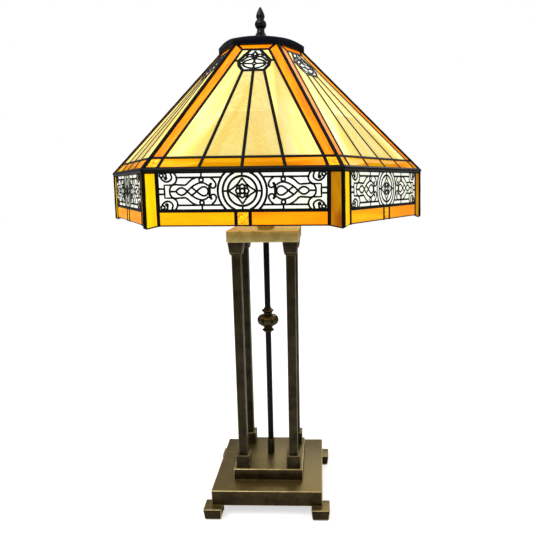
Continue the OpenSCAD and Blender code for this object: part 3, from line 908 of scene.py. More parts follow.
# ---------- the bulbs ----------
@dataclass
class BulbHolder:
    """One holder's shell and its round bulb, on an axis that tilts up to one side.

    Attributes:
        side: The side that it points to.
        hub_at: Height where the two axes meet.
        tilt: Angle over the level, in degrees.
        shell_r: Radius of the holder's shell.
        shell: Where the shell starts and ends along the axis.
        globe_r: Radius of the bulb.
        globe_at: Where the bulb's middle is along the axis.
        neck_r: Radius of the bulb's neck.
        neck_at: Where the neck starts.
        glass_t: Thickness of the bulb's glass.
    """

    side: Side
    hub_at: float = 425.0
    tilt: float = 15.0
    shell_r: float = 17.0
    shell: Point = (26.0, 62.0)
    globe_r: float = 30.0
    globe_at: float = 105.0
    neck_r: float = 12.4
    neck_at: float = 58.0
    glass_t: float = 1.0

    def axis(self) -> Matrix:
        """Gives the matrix that lays the Z axis on the holder's axis."""
        turn = math.radians(90 - self.tilt) * self.side.value
        return Matrix.Translation((0, 0, self.hub_at)) @ Matrix.Rotation(turn, 4, "Y")

    def build(self) -> None:
        """Makes the holder's shell and the bulb."""
        word = self.side.name.lower()
        body = Body.BULB_LEFT if self.side is Side.LEFT else Body.BULB_RIGHT
        start, end = self.shell
        inner = self.shell_r - 1.2
        lip = arc((self.shell_r - 0.6, end - 0.6), 0.6, 0, 180, 6)
        shoulder = arc((self.shell_r - 4, start + 4), 4, -90, 0, 6)
        hollow = [(inner, start + 4), (inner - 3.5, start + 1.2), (6, start + 1.2), (6, start)]
        turned_piece(f"holder_shell_{word}", [f"socket_shell_{word}"], [*shoulder, *lip, *hollow], "brass",
                     move=self.axis(), closed=True)
        throat = [(self.neck_r, self.neck_at), (self.neck_r + 0.4, self.neck_at + 9)]
        globe = arc((0, self.globe_at), self.globe_r, -62, 90, 22)
        inside = arc((0, self.globe_at), self.globe_r - self.glass_t, 90, -62, 22)
        back = [(r - self.glass_t, z) for r, z in reversed(throat)]
        turned_piece(f"bulb_globe_{word}", [f"bulb_glass_{word}"], [*throat, *globe, *inside, *back],
                     "frosted_glass", body, self.axis(), closed=True)


# ---------- the shade ----------
@dataclass
class ShadeForm:
    """Where the shade's six slopes and six skirt faces lie, and what their leads follow.

    Attributes:
        waist_r: Corner radius where slope and skirt meet.
        tip_r: Corner radius at the bottom.
        waist_at: Height of the waist.
        tip_at: Height of the bottom tips.
        turn: How far the shade is turned, in degrees.
        run: A slope's run over its rise, along a ridge.
        slope_l: Length of a slope.
        start: Where the slope's panes start.
        border: Upper edge of the border.
        shoulder: Height of the crest's widest point.
        crest: Where the crest starts.
        crown: Where the crown pane starts.
        strip: Width of the ridge strips.
        fan_u: Foot of the fanned line, at the border.
        fan_foot_u: The same at the waist.
        square_u: Inner edge of the corner squares.
        strip_in: Inner edge of the skirt's corner strips.
        under: Lower edge of the skirt's border.
        panel_low: Lower edge of the filigree panel.
        skirt_top: Upper edge of the skirt's panes.
        square_half: Half width of the skirt's middle square.
        glass_in: How far the glass lies under the leads.
        glass_t: Thickness of the glass.
        crest_half: The right half of the crest's outline, from its foot to the crown.
        crown_u: Half the width of a crown pane at the top.
        top_u: Half a slope's width at the top.
    """

    waist_r: float = 202.0
    tip_r: float = 204.0
    waist_at: float = 457.0
    tip_at: float = 397.5
    turn: float = -1.5
    run: float = 1.0385
    slope_l: float = 197.0
    start: float = 1.5
    border: float = 15.8
    shoulder: float = 166.0
    crest: float = 148.5
    crown: float = 186.0
    strip: float = 13.5
    fan_u: float = 40.4
    fan_foot_u: float = 43.7
    square_u: float = 85.8
    strip_in: float = 87.0
    under: float = 3.5
    panel_low: float = 17.8
    skirt_top: float = 56.5
    square_half: float = 7.3
    glass_in: float = 0.8
    glass_t: float = 3.0
    crest_half: tuple[Point, ...] = ((12.4, 148.5), (17.5, 157), (18.6, 166), (12.2, 176), (5.5, 186))
    crown_u: float = 23.5
    top_u: float = 24.94

    @property
    def waist_a(self) -> float:
        """Gives the waist's distance from the axis, square to a face."""
        return self.waist_r * math.cos(math.pi / 6)

    @property
    def tip_a(self) -> float:
        """Gives the bottom edge's distance from the axis, square to a face."""
        return self.tip_r * math.cos(math.pi / 6)

    def slope(self, k: int) -> Matrix:
        """Gives the matrix that lays a flat panel on slope k."""
        pitch = math.atan2(1, self.run * math.cos(math.pi / 6))
        return (Matrix.Rotation(math.radians(FACE_TURN * k + self.turn), 4, "Z")
                @ Matrix.Translation((0, -self.waist_a, self.waist_at)) @ Matrix.Rotation(pitch, 4, "X"))

    def skirt(self, k: int) -> Matrix:
        """Gives the matrix that lays a flat panel on skirt face k."""
        lean = math.atan2(self.waist_at - self.tip_at, self.tip_a - self.waist_a)
        return (Matrix.Rotation(math.radians(FACE_TURN * k + self.turn), 4, "Z")
                @ Matrix.Translation((0, -self.tip_a, self.tip_at)) @ Matrix.Rotation(lean, 4, "X"))

    def ridge_u(self, v: float) -> float:
        """Gives half a slope's width at height v along it."""
        return self.waist_r / 2 - v * (self.waist_r / 2 - self.top_u) / self.slope_l

    def strip_u(self, v: float) -> float:
        """Gives the inner edge of a ridge strip at height v."""
        return self.ridge_u(v) - self.strip

    def skirt_u(self, v: float) -> float:
        """Gives half a skirt face's width at height v up it."""
        drop_l = math.hypot(self.waist_at - self.tip_at, self.tip_a - self.waist_a)
        return (self.tip_r - (self.tip_r - self.waist_r) * v / drop_l) / 2

    def crest_outline(self) -> list[Point]:
        """Gives the crest's outline, from its lower right corner round."""
        return [*self.crest_half, *((-u, v) for u, v in reversed(self.crest_half))]


@dataclass
class LeadWork:
    """The leads between the panes, the beads on ridges and waist, and the solder where they meet.

    Attributes:
        form: The shade's planes.
        half_w: Half the width of a lead's heart.
        half_h: Half its height.
        flange_w: Half the width of a lead's flanges.
        flange_h: Half the height of a flange.
        ridge_r: Radius of the ridge beads.
        corner_r: Radius of the skirt's corner beads.
        waist_bead_r: Radius of the waist bead.
        rim_r: Radius of the bead along the bottom.
        ridge_sunk: How far a ridge bead's middle is inside the shade's corner.
        corner_sunk: The same for a corner bead.
        waist_drop: How far the waist bead's middle is under the waist.
    """

    form: ShadeForm
    half_w: float = 1.2
    half_h: float = 2.3
    flange_w: float = 1.75
    flange_h: float = 0.75
    ridge_r: float = 1.9
    corner_r: float = 2.1
    waist_bead_r: float = 2.4
    rim_r: float = 1.5
    ridge_sunk: float = 1.0
    corner_sunk: float = 1.2
    waist_drop: float = 1.3

    def slope_strands(self) -> list[Strand]:
        """Gives the leads of one slope."""
        f = self.form
        side = [
            line((f.strip_u(f.border), f.border), (f.strip_u(f.crown), f.crown), (f.crown_u, f.slope_l)),
            line((f.square_u, f.start), (f.strip_u(f.border), f.border)),
            line((f.fan_foot_u, f.start), (f.fan_u, f.border), f.crest_half[0]),
            line(f.crest_half[2], (f.strip_u(f.shoulder), f.shoulder)),
            line(f.crest_half[4], (f.strip_u(f.crown), f.crown)),
        ]
        full = [
            line((-f.ridge_u(f.start), f.start), (f.ridge_u(f.start), f.start)),
            line((-f.ridge_u(f.border), f.border), (f.ridge_u(f.border), f.border)),
            line((0, f.start), (0, f.crest)),
            line((-f.ridge_u(f.slope_l), f.slope_l - 1), (f.ridge_u(f.slope_l), f.slope_l - 1)),
            Strand(tuple(f.crest_outline()), closed=True),
        ]
        return [*mirrored(side, up=False), *full]

    def skirt_strands(self) -> list[Strand]:
        """Gives the leads of one skirt face."""
        f = self.form
        side = [
            line((f.strip_in, f.under), (f.strip_in, f.skirt_top)),
            line((f.square_half, f.under), (f.square_half, f.panel_low)),
        ]
        full = [
            line((-f.strip_in, f.panel_low), (f.strip_in, f.panel_low)),
            line((-f.skirt_u(f.skirt_top), f.skirt_top), (f.skirt_u(f.skirt_top), f.skirt_top)),
        ]
        return [*mirrored(side, up=False), *full]

    def rim_strands(self) -> list[Strand]:
        """Gives the line of the bottom rim of one skirt face."""
        f = self.form
        tip = (f.tip_r / 2 - 1, 0.4)
        return [line((-tip[0], tip[1]), (-f.strip_in, f.under), (f.strip_in, f.under), tip)]

    def solder(self, strands: Sequence[Strand], place_at: Sequence[Matrix]) -> bmesh.types.BMesh:
        """Makes the drops of solder at the ends and corners of the leads.

        Args:
            strands: The leads of one face.
            place_at: Where each face goes.

        Returns:
            The drops on all the faces.
        """
        spots = {(round(u, 1), round(v, 1)) for s in strands for u, v in s.points}
        chance = random.Random(7)
        mesh = bmesh.new()
        for matrix in place_at:
            before = len(mesh.verts)
            for u, v in sorted(spots):
                size = chance.uniform(1.7, 2.1)
                drop(mesh, (u, v, -0.7), size, 0.85)
            mesh.verts.ensure_lookup_table()
            place(matrix, mesh, mesh.verts[before:])
        return mesh

    def leads(self) -> None:
        """Makes the leads of the slopes and of the skirt."""
        f = self.form
        for name, node, strands, place_on in (
                ("slope_leads", "slope_came", self.slope_strands(), f.slope),
                ("skirt_leads", "skirt_came", self.skirt_strands(), f.skirt)):
            face = [wires(strands, self.half_w, self.half_h, 1, -self.half_h)]
            for at in (self.flange_h, 2 * self.half_h - self.flange_h):
                face.append(wires(strands, self.flange_w, self.flange_h, 2, -at))
            parts = [(m, place_on(k)) for k in range(FACES) for m in face]
            piece(name, joined(parts), Body.SHADE, "black_lead", [node])
            for used in face:
                bpy.data.meshes.remove(used)
            drops = self.solder(strands, [place_on(k) for k in range(FACES)])
            piece(name.replace("leads", "solder"), drops, Body.SHADE, "black_lead", [])

    def bar(self, mesh: bmesh.types.BMesh, start: Vector, end: Vector, radius: float, steps: int) -> None:
        """Adds a round bar that swells and thins a little, as a hand-run bead does.

        Args:
            mesh: The mesh that it joins.
            start: One end.
            end: The other end.
            radius: Its radius.
            steps: How many stretches it has.
        """
        along = end - start
        turn = along.to_track_quat("Z", "Y").to_matrix().to_4x4()
        before = len(mesh.verts)
        circle = bmesh.ops.create_circle(mesh, cap_ends=True, segments=14, radius=radius)["verts"]
        faces = [circle[0].link_faces[0]]
        for step in range(steps):
            grown = bmesh.ops.extrude_face_region(mesh, geom=faces)["geom"]
            verts = [g for g in grown if isinstance(g, bmesh.types.BMVert)]
            if step:
                bmesh.ops.delete(mesh, geom=faces, context="FACES_ONLY")
            faces = [g for g in grown if isinstance(g, bmesh.types.BMFace)]
            bmesh.ops.translate(mesh, verts=verts, vec=(0, 0, along.length / steps))
            swell = 1 + 0.05 * math.sin(2.1 * step + start.x)
            for vert in verts:
                vert.co.xy = vert.co.xy.normalized() * radius * swell
        mesh.verts.ensure_lookup_table()
        place(Matrix.Translation(start) @ turn, mesh, mesh.verts[before:])

    def beads(self) -> None:
        """Makes the beads down the ridges and corners, round the waist and along the bottom."""
        f = self.form
        ridges, waist, up = bmesh.new(), bmesh.new(), Vector((0, 0, 1))
        corner = math.radians(f.turn - FACE_TURN / 2)
        crown_r = f.ridge_u(f.slope_l) * 2
        crown_at = f.waist_at + (f.waist_r - crown_r) / f.run
        ridge_in, corner_in = self.ridge_sunk, self.corner_sunk
        for k in range(FACES):
            a = corner + math.radians(FACE_TURN * k)
            out = Vector((math.sin(a), -math.cos(a), 0))
            after = Matrix.Rotation(math.radians(FACE_TURN), 3, "Z") @ out
            self.bar(ridges, out * (f.waist_r - ridge_in) + up * f.waist_at,
                     out * (crown_r - ridge_in) + up * crown_at, self.ridge_r, steps=26)
            self.bar(ridges, out * (f.tip_r - corner_in) + up * (f.tip_at + 0.7),
                     out * (f.waist_r - corner_in) + up * f.waist_at, self.corner_r, steps=7)
            low = up * (f.waist_at - self.waist_drop)
            self.bar(waist, out * (f.waist_r - ridge_in) + low, after * (f.waist_r - ridge_in) + low,
                     self.waist_bead_r, steps=20)
            drop(ridges, out * (f.waist_r - 0.9) + up * (f.waist_at - 0.9), 2.8, 2.6)
            drop(ridges, out * (f.tip_r - 1.0) + up * (f.tip_at + 1.2), 2.0, 1.7)
        piece("ridge_bars", ridges, Body.SHADE, "black_lead", ["ridge_beads"])
        piece("waist_bar", waist, Body.SHADE, "patinated_bar", ["waist_bead"])
        rim = wires(self.rim_strands(), self.rim_r, self.rim_r, 3, -self.half_h)
        around = joined((rim, f.skirt(k)) for k in range(FACES))
        piece("bottom_bead", around, Body.SHADE, "black_lead", ["bottom_rim"])
        bpy.data.meshes.remove(rim)

    def build(self) -> None:
        """Makes all the leads and beads."""
        self.leads()
        self.beads()


@dataclass
class PaneSet:
    """Panes of one kind of glass.

    Attributes:
        name: The piece's name.
        node: The CAD node that they stand for.
        coat: Their glass.
        slot: The record's material slot; not used.
        slope: Outlines on a slope.
        skirt: Outlines on a skirt face.
        tones: The most that panes on the left and on the right lean to the glass's other colour.
        least: The least that any pane takes of that.
    """

    name: str
    node: str
    coat: str
    slot: str
    slope: list[list[Point]] = field(default_factory=list)
    skirt: list[list[Point]] = field(default_factory=list)
    tones: Point = (0.35, 0.7)
    least: float = 0.3


@dataclass
class Panes:
    """All the shade's glass, pane by pane.

    Attributes:
        form: The shade's planes.
        lap: How far a pane stops short of the middle of a lead.
    """

    form: ShadeForm
    lap: float = 0.9

    def add_pane(self, mesh: bmesh.types.BMesh, outline: Sequence[Point], matrix: Matrix, tone: float,
                 offset: float) -> None:
        """Adds one pane, with streaks along its longest edge.

        Args:
            mesh: The mesh that it joins.
            outline: Its outline, in the middle of its leads.
            matrix: Where its face goes.
            tone: Its tone.
            offset: Where in the pattern it was cut from.
        """
        f = self.form
        flow = mesh.loops.layers.uv.get("streak") or mesh.loops.layers.uv.new("streak")
        tint = mesh.faces.layers.float.get("tone") or mesh.faces.layers.float.new("tone")
        verts = [mesh.verts.new((u, v, -f.glass_in)) for u, v in outline]
        face = mesh.faces.new(verts)
        margin = bmesh.ops.inset_region(mesh, faces=[face], thickness=self.lap, use_even_offset=True)
        bmesh.ops.delete(mesh, geom=margin["faces"], context="FACES")
        pane_verts = list(face.verts)
        grown = bmesh.ops.extrude_face_region(mesh, geom=[face], use_keep_orig=True)["geom"]
        back = [g for g in grown if isinstance(g, bmesh.types.BMVert)]
        bmesh.ops.translate(mesh, verts=back, vec=(0, 0, -f.glass_t))
        edges = [Vector(b) - Vector(a) for a, b in zip(outline, [*outline[1:], outline[0]])]
        along = max(edges, key=lambda e: e.length).normalized()
        across = Vector((along.y, -along.x))
        everything = [*pane_verts, *back]
        for surface in {g for v in everything for g in v.link_faces}:
            surface[tint] = tone
            for loop in surface.loops:
                here = loop.vert.co.xy
                loop[flow].uv = (MM * here.dot(across) + offset, MM * here.dot(along) + offset)
        place(matrix, mesh, everything)

    def sets(self) -> list[PaneSet]:
        """Gives the panes of one slope and one skirt face, by kind of glass."""
        f = self.form
        b, s, c, t = f.border, f.strip_u, f.crest_half, f.slope_l
        crown_low = (s(f.crown), f.crown)
        cream = [
            [(s(b), b), (s(f.shoulder), f.shoulder), c[2], c[1], c[0], (f.fan_u, b)],
            [(0, b), (f.fan_u, b), c[0], (0, f.crest)],
            [(s(f.shoulder), f.shoulder), crown_low, c[4], c[3], c[2]],
        ]
        strip = [(f.ridge_u(b), b), (f.ridge_u(t), t), (f.crown_u, t), crown_low, (s(b), b)]
        crown = [(-s(f.crown), f.crown), crown_low, (f.crown_u, t), (-f.crown_u, t)]
        border = [
            [(f.fan_foot_u, f.start), (f.square_u, f.start), (s(b), b), (f.fan_u, b)],
            [(0, f.start), (f.fan_foot_u, f.start), (f.fan_u, b), (0, b)],
        ]
        square = [(f.square_u, f.start), (f.ridge_u(f.start), f.start), (f.ridge_u(b), b), (s(b), b)]
        corner = [(f.strip_in, f.under), (f.tip_r / 2, 0), (f.skirt_u(f.skirt_top), f.skirt_top),
                  (f.strip_in, f.skirt_top)]
        long = [(f.square_half, f.under), (f.strip_in, f.under), (f.strip_in, f.panel_low),
                (f.square_half, f.panel_low)]
        q = f.square_half
        middle = [(-q, f.under), (q, f.under), (q, f.panel_low), (-q, f.panel_low)]
        w = f.strip_in
        panel = [(-w, f.panel_low), (w, f.panel_low), (w, f.skirt_top), (-w, f.skirt_top)]

        def both(outlines: list[list[Point]]) -> list[list[Point]]:
            """Repeats outlines on the left, turned the same way round."""
            return [*outlines, *([(-u, v) for u, v in reversed(o)] for o in outlines)]

        return [
            PaneSet("cream_glass_panes", "cream_panes", "cream_glass", "cream_glass", both(cream)),
            PaneSet("ridge_glass", "ridge_strips", "amber_glass", "amber_glass", both([strip])),
            PaneSet("crown_glass", "crown_panes", "amber_glass", "amber_glass", [crown]),
            PaneSet("border_glass_panes", "border_panes", "border_glass", "amber_glass", both(border)),
            PaneSet("skirt_border_glass", "skirt_panes", "border_glass", "amber_glass", skirt=both([long]),
                    tones=(0.4, 0.95), least=0.7),
            PaneSet("corner_glass", "corner_strips", "honey_glass", "honey_glass", skirt=both([corner]),
                    tones=(0.12, 1.0), least=0.8),
            PaneSet("mottled_glass_squares", "mottled_squares", "mottled_glass", "mottled_glass",
                    both([square]), [middle], (0.2, 0.6)),
            PaneSet("milk_glass_panels", "filigree_glass", "milk_glass", "milk_glass",
                    [f.crest_outline()], [panel], (0.4, 0.4)),
        ]

    def build(self) -> None:
        """Makes every pane."""
        chance = random.Random(11)
        for kind in self.sets():
            mesh = bmesh.new()
            for k in range(FACES):
                for outlines, matrix in ((kind.slope, self.form.slope(k)), (kind.skirt, self.form.skirt(k))):
                    for outline in outlines:
                        most = kind.tones[sum(u for u, _ in outline) > 0]
                        tone = chance.uniform(kind.least, 1) * most
                        self.add_pane(mesh, outline, matrix, tone, chance.uniform(0, 30))
            piece(kind.name, mesh, Body.SHADE, kind.coat, [kind.node])


@dataclass
class Filigree:
    """The pierced metal over the skirt's milk glass and over the crests.

    Attributes:
        form: The shade's planes.
        wire_r: Half a wire's width on the skirt.
        ring_r: The same on the medallions' rings.
        clasp_r: The same on the clasps.
        crest_r: The same on the crests.
        hem_r: The same along a crest's outline.
        wire_h: Half a wire's height.
        sunk: How far a wire's middle is below the leads' outer surface.
        half_w: Half the opening's width.
        half_h: Half its height.
        rail: Height of the rails over the middle line.
        rings: Radii of the medallion's three rings.
    """

    form: ShadeForm
    wire_r: float = 1.0
    wire_h: float = 0.35
    sunk: float = 0.6
    ring_r: float = 1.2
    clasp_r: float = 1.5
    crest_r: float = 1.45
    hem_r: float = 1.9
    half_w: float = 85.2
    half_h: float = 18.2
    rail: float = 13.7
    rings: tuple[float, float, float] = (14.7, 19.8, 24.8)

    @property
    def middle(self) -> float:
        """Gives the height of the panel's middle line up the skirt."""
        return (self.form.panel_low + self.form.skirt_top) / 2

    def medallion_rings(self) -> list[Strand]:
        """Gives a medallion's whole inner ring, and the two outer ones that the panel's edges cut."""
        inner, mid, outer = self.rings
        arcs = []
        for radius in (mid, outer):
            reach = math.degrees(math.asin(self.half_h / radius))
            arcs.append(Strand(tuple(arc((0, 0), radius, -reach, reach, 18))))
        return [*mirrored(arcs, up=False), ring((0, 0), inner, 40)]

    def medallion(self) -> list[Strand]:
        """Gives the star, the rosette and the spokes in the middle of a panel."""
        inner, mid, _ = self.rings
        star = line((0, 12.8), (4.4, 6.9), (8.4, 3.4), (13.9, 0))
        petals = [(6.2 + 0.55 * math.cos(8 * a), a) for a in (math.tau * i / 64 for i in range(64))]
        rosette = Strand(tuple((r * math.cos(a), r * math.sin(a)) for r, a in petals), closed=True)
        spoke, stub = line((inner, 0), (mid, 0)), line((0, inner), (0, self.half_h))
        grid = [line((2.5, 6.4), (2.5, -6.4)), line((4.5, 4.6), (5.7, 6.4))]
        cross = [line((-6.4, 2.5), (6.4, 2.5))]
        return [rosette, ring((0, 0), 2.3, 16),
                *mirrored([spoke], up=False), *mirrored([stub], across=False), *mirrored([star, grid[1]]),
                *mirrored([grid[0]], up=False), *mirrored(cross, across=False)]

    def side(self) -> list[Strand]:
        """Gives the loops, rails and scrolls of one quarter of a panel."""
        top = self.half_h
        return [
            line((20.7, self.rail), (67.4, self.rail)),
            line((41.2, self.rail), (41.2, top)),
            ring((41.3, 11.2), 2.1, 14),
            curl((31.6, 13.2), (27.9, 9.8), (26.6, 6.3), (27.6, 3.8), (29.9, 3.1), (31.8, 4.2)),
            curl((34.4, 0), (35.7, 3.1), (39.3, 4.4), (43.2, 2.6), (46.2, 0), (51.5, -4)),
            curl((34.5, 5.7), (38, 7.9), (42, 8.4), (46.8, 6.9), (51.5, 4), (55.9, 0), (58.6, -2.5),
                 (61.6, -3.6), (65, -2.5), (67.4, 0)),
            curl((46, self.rail), (50.2, 12), (53.8, 9.4), (56.2, 7.2), (58.2, 6.1)),
            curl((58.2, 6.1), (64, 6.5), (70.2, 6.4), (73, 3.8), (74, 0)),
            line((67.4, 0), (74, 0)),
            line((70.4, 6.4), (79.1, 6.4), (79.1, 0)),
            line((79.1, 2.65), (self.half_w, 2.65)),
            curl((70.6, 6.4), (67.3, 9.2), (66.2, 12.6), (67, 15.6), (68.9, top)),
            curl((71.9, 16.6), (71.2, 13.5), (73.4, 10.6), (76.9, 9.6), (80.8, 11.6), (82.8, 14.6)),
            ring((81.6, 15.9), 1.9, 14),
            curl((78.4, top), (76.9, 16.4), (76.7, 14.6), (77.4, 13.4)),
        ]

    def skirt_drops(self) -> list[tuple[float, float, float]]:
        """Gives place and radius of the blobs in one quarter of a panel."""
        return [(31.4, 7.4, 1.3), (77.3, 13.2, 2.1), (31.9, 4.3, 1.2), (71.9, 17, 1.2)]

    def blobs(self, spots: Iterable[tuple[float, float, float]], height: float) -> bpy.types.Mesh:
        """Makes round blobs of metal.

        Args:
            spots: Each blob's place and radius.
            height: The blobs' height.

        Returns:
            One flat mesh.
        """
        mesh = bmesh.new()
        for u, v, radius in spots:
            drop(mesh, (u, v, -self.sunk), radius, height)
        data = bpy.data.meshes.new("blobs")
        mesh.to_mesh(data)
        mesh.free()
        return data

    def lay(self, name: str, node: str, parts: list[bpy.types.Mesh], planes: Iterable[Matrix]) -> None:
        """Lays flat meshes on the shade's faces as one piece, and removes them.

        Args:
            name: The piece's name.
            node: The CAD node that it replaces.
            parts: The flat meshes.
            planes: Where they lie.
        """
        mesh = joined([(part, plane) for plane in planes for part in parts])
        piece(name, mesh, Body.SHADE, "black_filigree", [node])
        for part in parts:
            bpy.data.meshes.remove(part)

    def panels(self) -> None:
        """Makes the skirt's six pierced panels."""
        w, h = self.half_w, self.half_h + 0.3
        hem = Strand(((-w, -h), (w, -h), (w, h), (-w, h)), closed=True)
        clasp = line((31.5, -7.3), (33.1, -5.4), (33.1, 5.4), (31.5, 7.3))
        thin = [*self.medallion(), *mirrored(self.side()), hem]
        flat = wires(thin, self.wire_r, self.wire_h, 1, -self.sunk)
        bold = wires(mirrored([clasp], up=False), self.clasp_r, self.wire_h + 0.05, 1, -self.sunk)
        rings = wires(self.medallion_rings(), self.ring_r, self.wire_h + 0.02, 1, -self.sunk)
        spots = [(a * u, b * v, radius) for u, v, radius in self.skirt_drops()
                 for a in (1, -1) for b in (1, -1)]
        up = Matrix.Translation((0, self.middle, 0))
        self.lay("skirt_scrollwork", "skirt_filigree", [flat, bold, rings, self.blobs(spots, 0.5)],
                 [self.form.skirt(k) @ up for k in range(FACES)])

    def crest_drops(self) -> list[tuple[float, float, float]]:
        """Gives place and radius of the blobs on a crest."""
        return [(9.4, 26.4, 2.2), (-9.4, 26.4, 2.2), (0, 3, 2.6), (17.6, 14.6, 2), (-17.6, 14.6, 2),
                (0, 32.4, 2)]

    def crests(self) -> None:
        """Makes the six pierced crests."""
        half = [
            curl((13.6, 11.8), (10.6, 16.2), (5.6, 18.9), (2, 20.2), (0, 20.6)),
            curl((13.6, 11.8), (10.4, 7.2), (5.8, 4.8), (1.5, 3.6), (0, 3)),
            line((2.6, 11.8), (17.6, 12.6)),
            line((0, 14.6), (2.6, 11.8), (0, 9.2)),
            line((0, 14.6), (0, 20.6)),
            line((0, 9.2), (0, 0.8)),
            curl((0, 21), (4.2, 24), (8.4, 23.2), (12, 19.8), (15.2, 15.6)),
            curl((0.6, 22), (2.6, 26), (5.8, 28.4), (9.2, 27)),
            curl((0, 25.4), (2.2, 27.6), (1.9, 30.4), (0, 31.6)),
        ]
        rim = Strand(tuple((u * 0.95, (v - self.form.crest - 18) * 0.95 + 18)
                           for u, v in self.form.crest_outline()), closed=True)
        flat = wires(mirrored(half, up=False), self.crest_r, self.wire_h, 1, -self.sunk)
        hem = wires([rim], self.hem_r, self.wire_h + 0.1, 1, -self.sunk)
        up = Matrix.Translation((0, self.form.crest, 0))
        self.lay("crest_scrollwork", "crest_filigree", [flat, hem, self.blobs(self.crest_drops(), 0.6)],
                 [self.form.slope(k) @ up for k in range(FACES)])

    def build(self) -> None:
        """Makes the pierced metal."""
        self.panels()
        self.crests()


# ---------- the top ----------
@dataclass
class Top:
    """The domed six-sided cap over the crown, and the cast finial that holds it.

    Attributes:
        corner_r: Radius of the cap's corners.
        dome_r: Radius of the dome.
        hole_r: Radius of the hole for the rod.
        sheet: Thickness of the sheet.
        turn: How far the cap is turned, in degrees.
        fold: Rounding of its folded edges.
        hub_r: Radius of the six-sided ring that is drawn in to the hole.
    """

    corner_r: float = 54.0
    dome_r: float = 170.0
    hole_r: float = 3.4
    sheet: float = 1.5
    turn: float = -1.5
    fold: float = 0.45
    hub_r: float = 6.0

    def cap(self) -> None:
        """Makes the cap."""
        low, high = millimetre_box("heat_cap")
        apex = high.z + self.dome_r - math.sqrt(self.dome_r ** 2 - self.hole_r ** 2)
        mesh = bmesh.new()
        rub = mesh.faces.layers.float.new("rub")
        bmesh.ops.create_cone(mesh, cap_ends=False, segments=FACES, radius1=self.corner_r,
                              radius2=self.hub_r, depth=1)
        bmesh.ops.subdivide_edges(mesh, edges=mesh.edges, cuts=11, use_grid_fill=True)
        for vert in mesh.verts:
            if vert.co.xy.length < self.hub_r + 0.5 and any(e.is_boundary for e in vert.link_edges):
                vert.co.xy = vert.co.xy.normalized() * self.hole_r
        for vert in mesh.verts:
            vert.co.z = apex - self.dome_r + math.sqrt(self.dome_r ** 2 - vert.co.xy.length_squared)
        outside = self.corner_r / 2
        edge = [e for e in mesh.edges if e.is_boundary and e.verts[0].co.xy.length > outside]
        down = bmesh.ops.extrude_edge_only(mesh, edges=edge)["geom"]
        for vert in (g for g in down if isinstance(g, bmesh.types.BMVert)):
            vert.co.z = low.z
        bmesh.ops.recalc_face_normals(mesh, faces=mesh.faces)
        if sum(f.normal.z for f in mesh.faces) < 0:
            bmesh.ops.reverse_faces(mesh, faces=mesh.faces)
        bmesh.ops.solidify(mesh, geom=mesh.faces, thickness=self.sheet)
        sharp = [e for e in mesh.edges if e.is_manifold and e.calc_face_angle() > math.radians(55)
                 and max(v.co.xy.length for v in e.verts) > outside]
        soft = bmesh.ops.bevel(mesh, geom=sharp, offset=self.fold, segments=2, profile=0.5, material=-1,
                               affect="EDGES")
        # The folded edges are marked for the edge colour: abrasion and a painted highlight.
        for surface in soft["faces"]:
            surface[rub] = 0.8
        place(Matrix.Rotation(math.radians(FACE_TURN / 2 + self.turn), 4, "Z"), mesh)
        piece("cap", mesh, Body.HEAT_CAP, "black_sheet", ["heat_cap"], crease=40)

    def finial(self) -> None:
        """Makes the turned finial."""
        low, _ = millimetre_box("finial")
        foot = [(0, 0), (8, 0), (8.5, 1.4), (8.5, 3.2), (6.6, 5.4), (6.6, 6.4), (5.4, 7.6), (4.7, 10.4)]
        bulb = arc((2.2, 17.6), 5.1, -60, 60, 14, 5.6 / 5.1)
        tip = [(4.4, 23.8), (5.3, 25.6), (5.4, 27.2), (4.9, 29.6), (3.6, 32.6), (1.9, 35.8), (0.8, 37.4),
               (0, 37.8)]
        profile = [(r, z + low.z) for r, z in [*foot, *bulb, *tip]]
        turned_piece("cast_finial", ["finial"], profile, "black_cast", Body.FINIAL, steps=72)

    def build(self) -> None:
        """Makes the cap and the finial."""
        self.cap()
        self.finial()


# ---------- what stays as the CAD has it ----------
CARRIED = {
    "ballast_block": "cast_iron", "bottom_cover": "black_sheet", "foot_screws": "steel", "foot_pads": "felt",
    "tie_rods": "steel", "tie_rod_nuts": "steel", "tube_nut": "steel", "cluster_body": "brass",
    "socket_liners": "porcelain", "shade_rod": "steel", "shade_rest_nut": "steel",
    "cord_bushing": "black_plastic", "lamp_wires": "black_plastic", "bulb_cap_left": "brass",
    "bulb_cap_right": "brass", "spider": "black_lead", "top_ring": "black_lead",
}


def dress_carried_nodes(nodes: dict[str, bpy.types.Object]) -> None:
    """Gives the CAD nodes that are shown as they are their finishes.

    Args:
        nodes: The frame's nodes.
    """
    for name, coat in CARRIED.items():
        nodes[name].data.materials.clear()
        nodes[name].data.materials.append(finish(coat))
        LOG.info("%s: carried over in %s", name, coat)


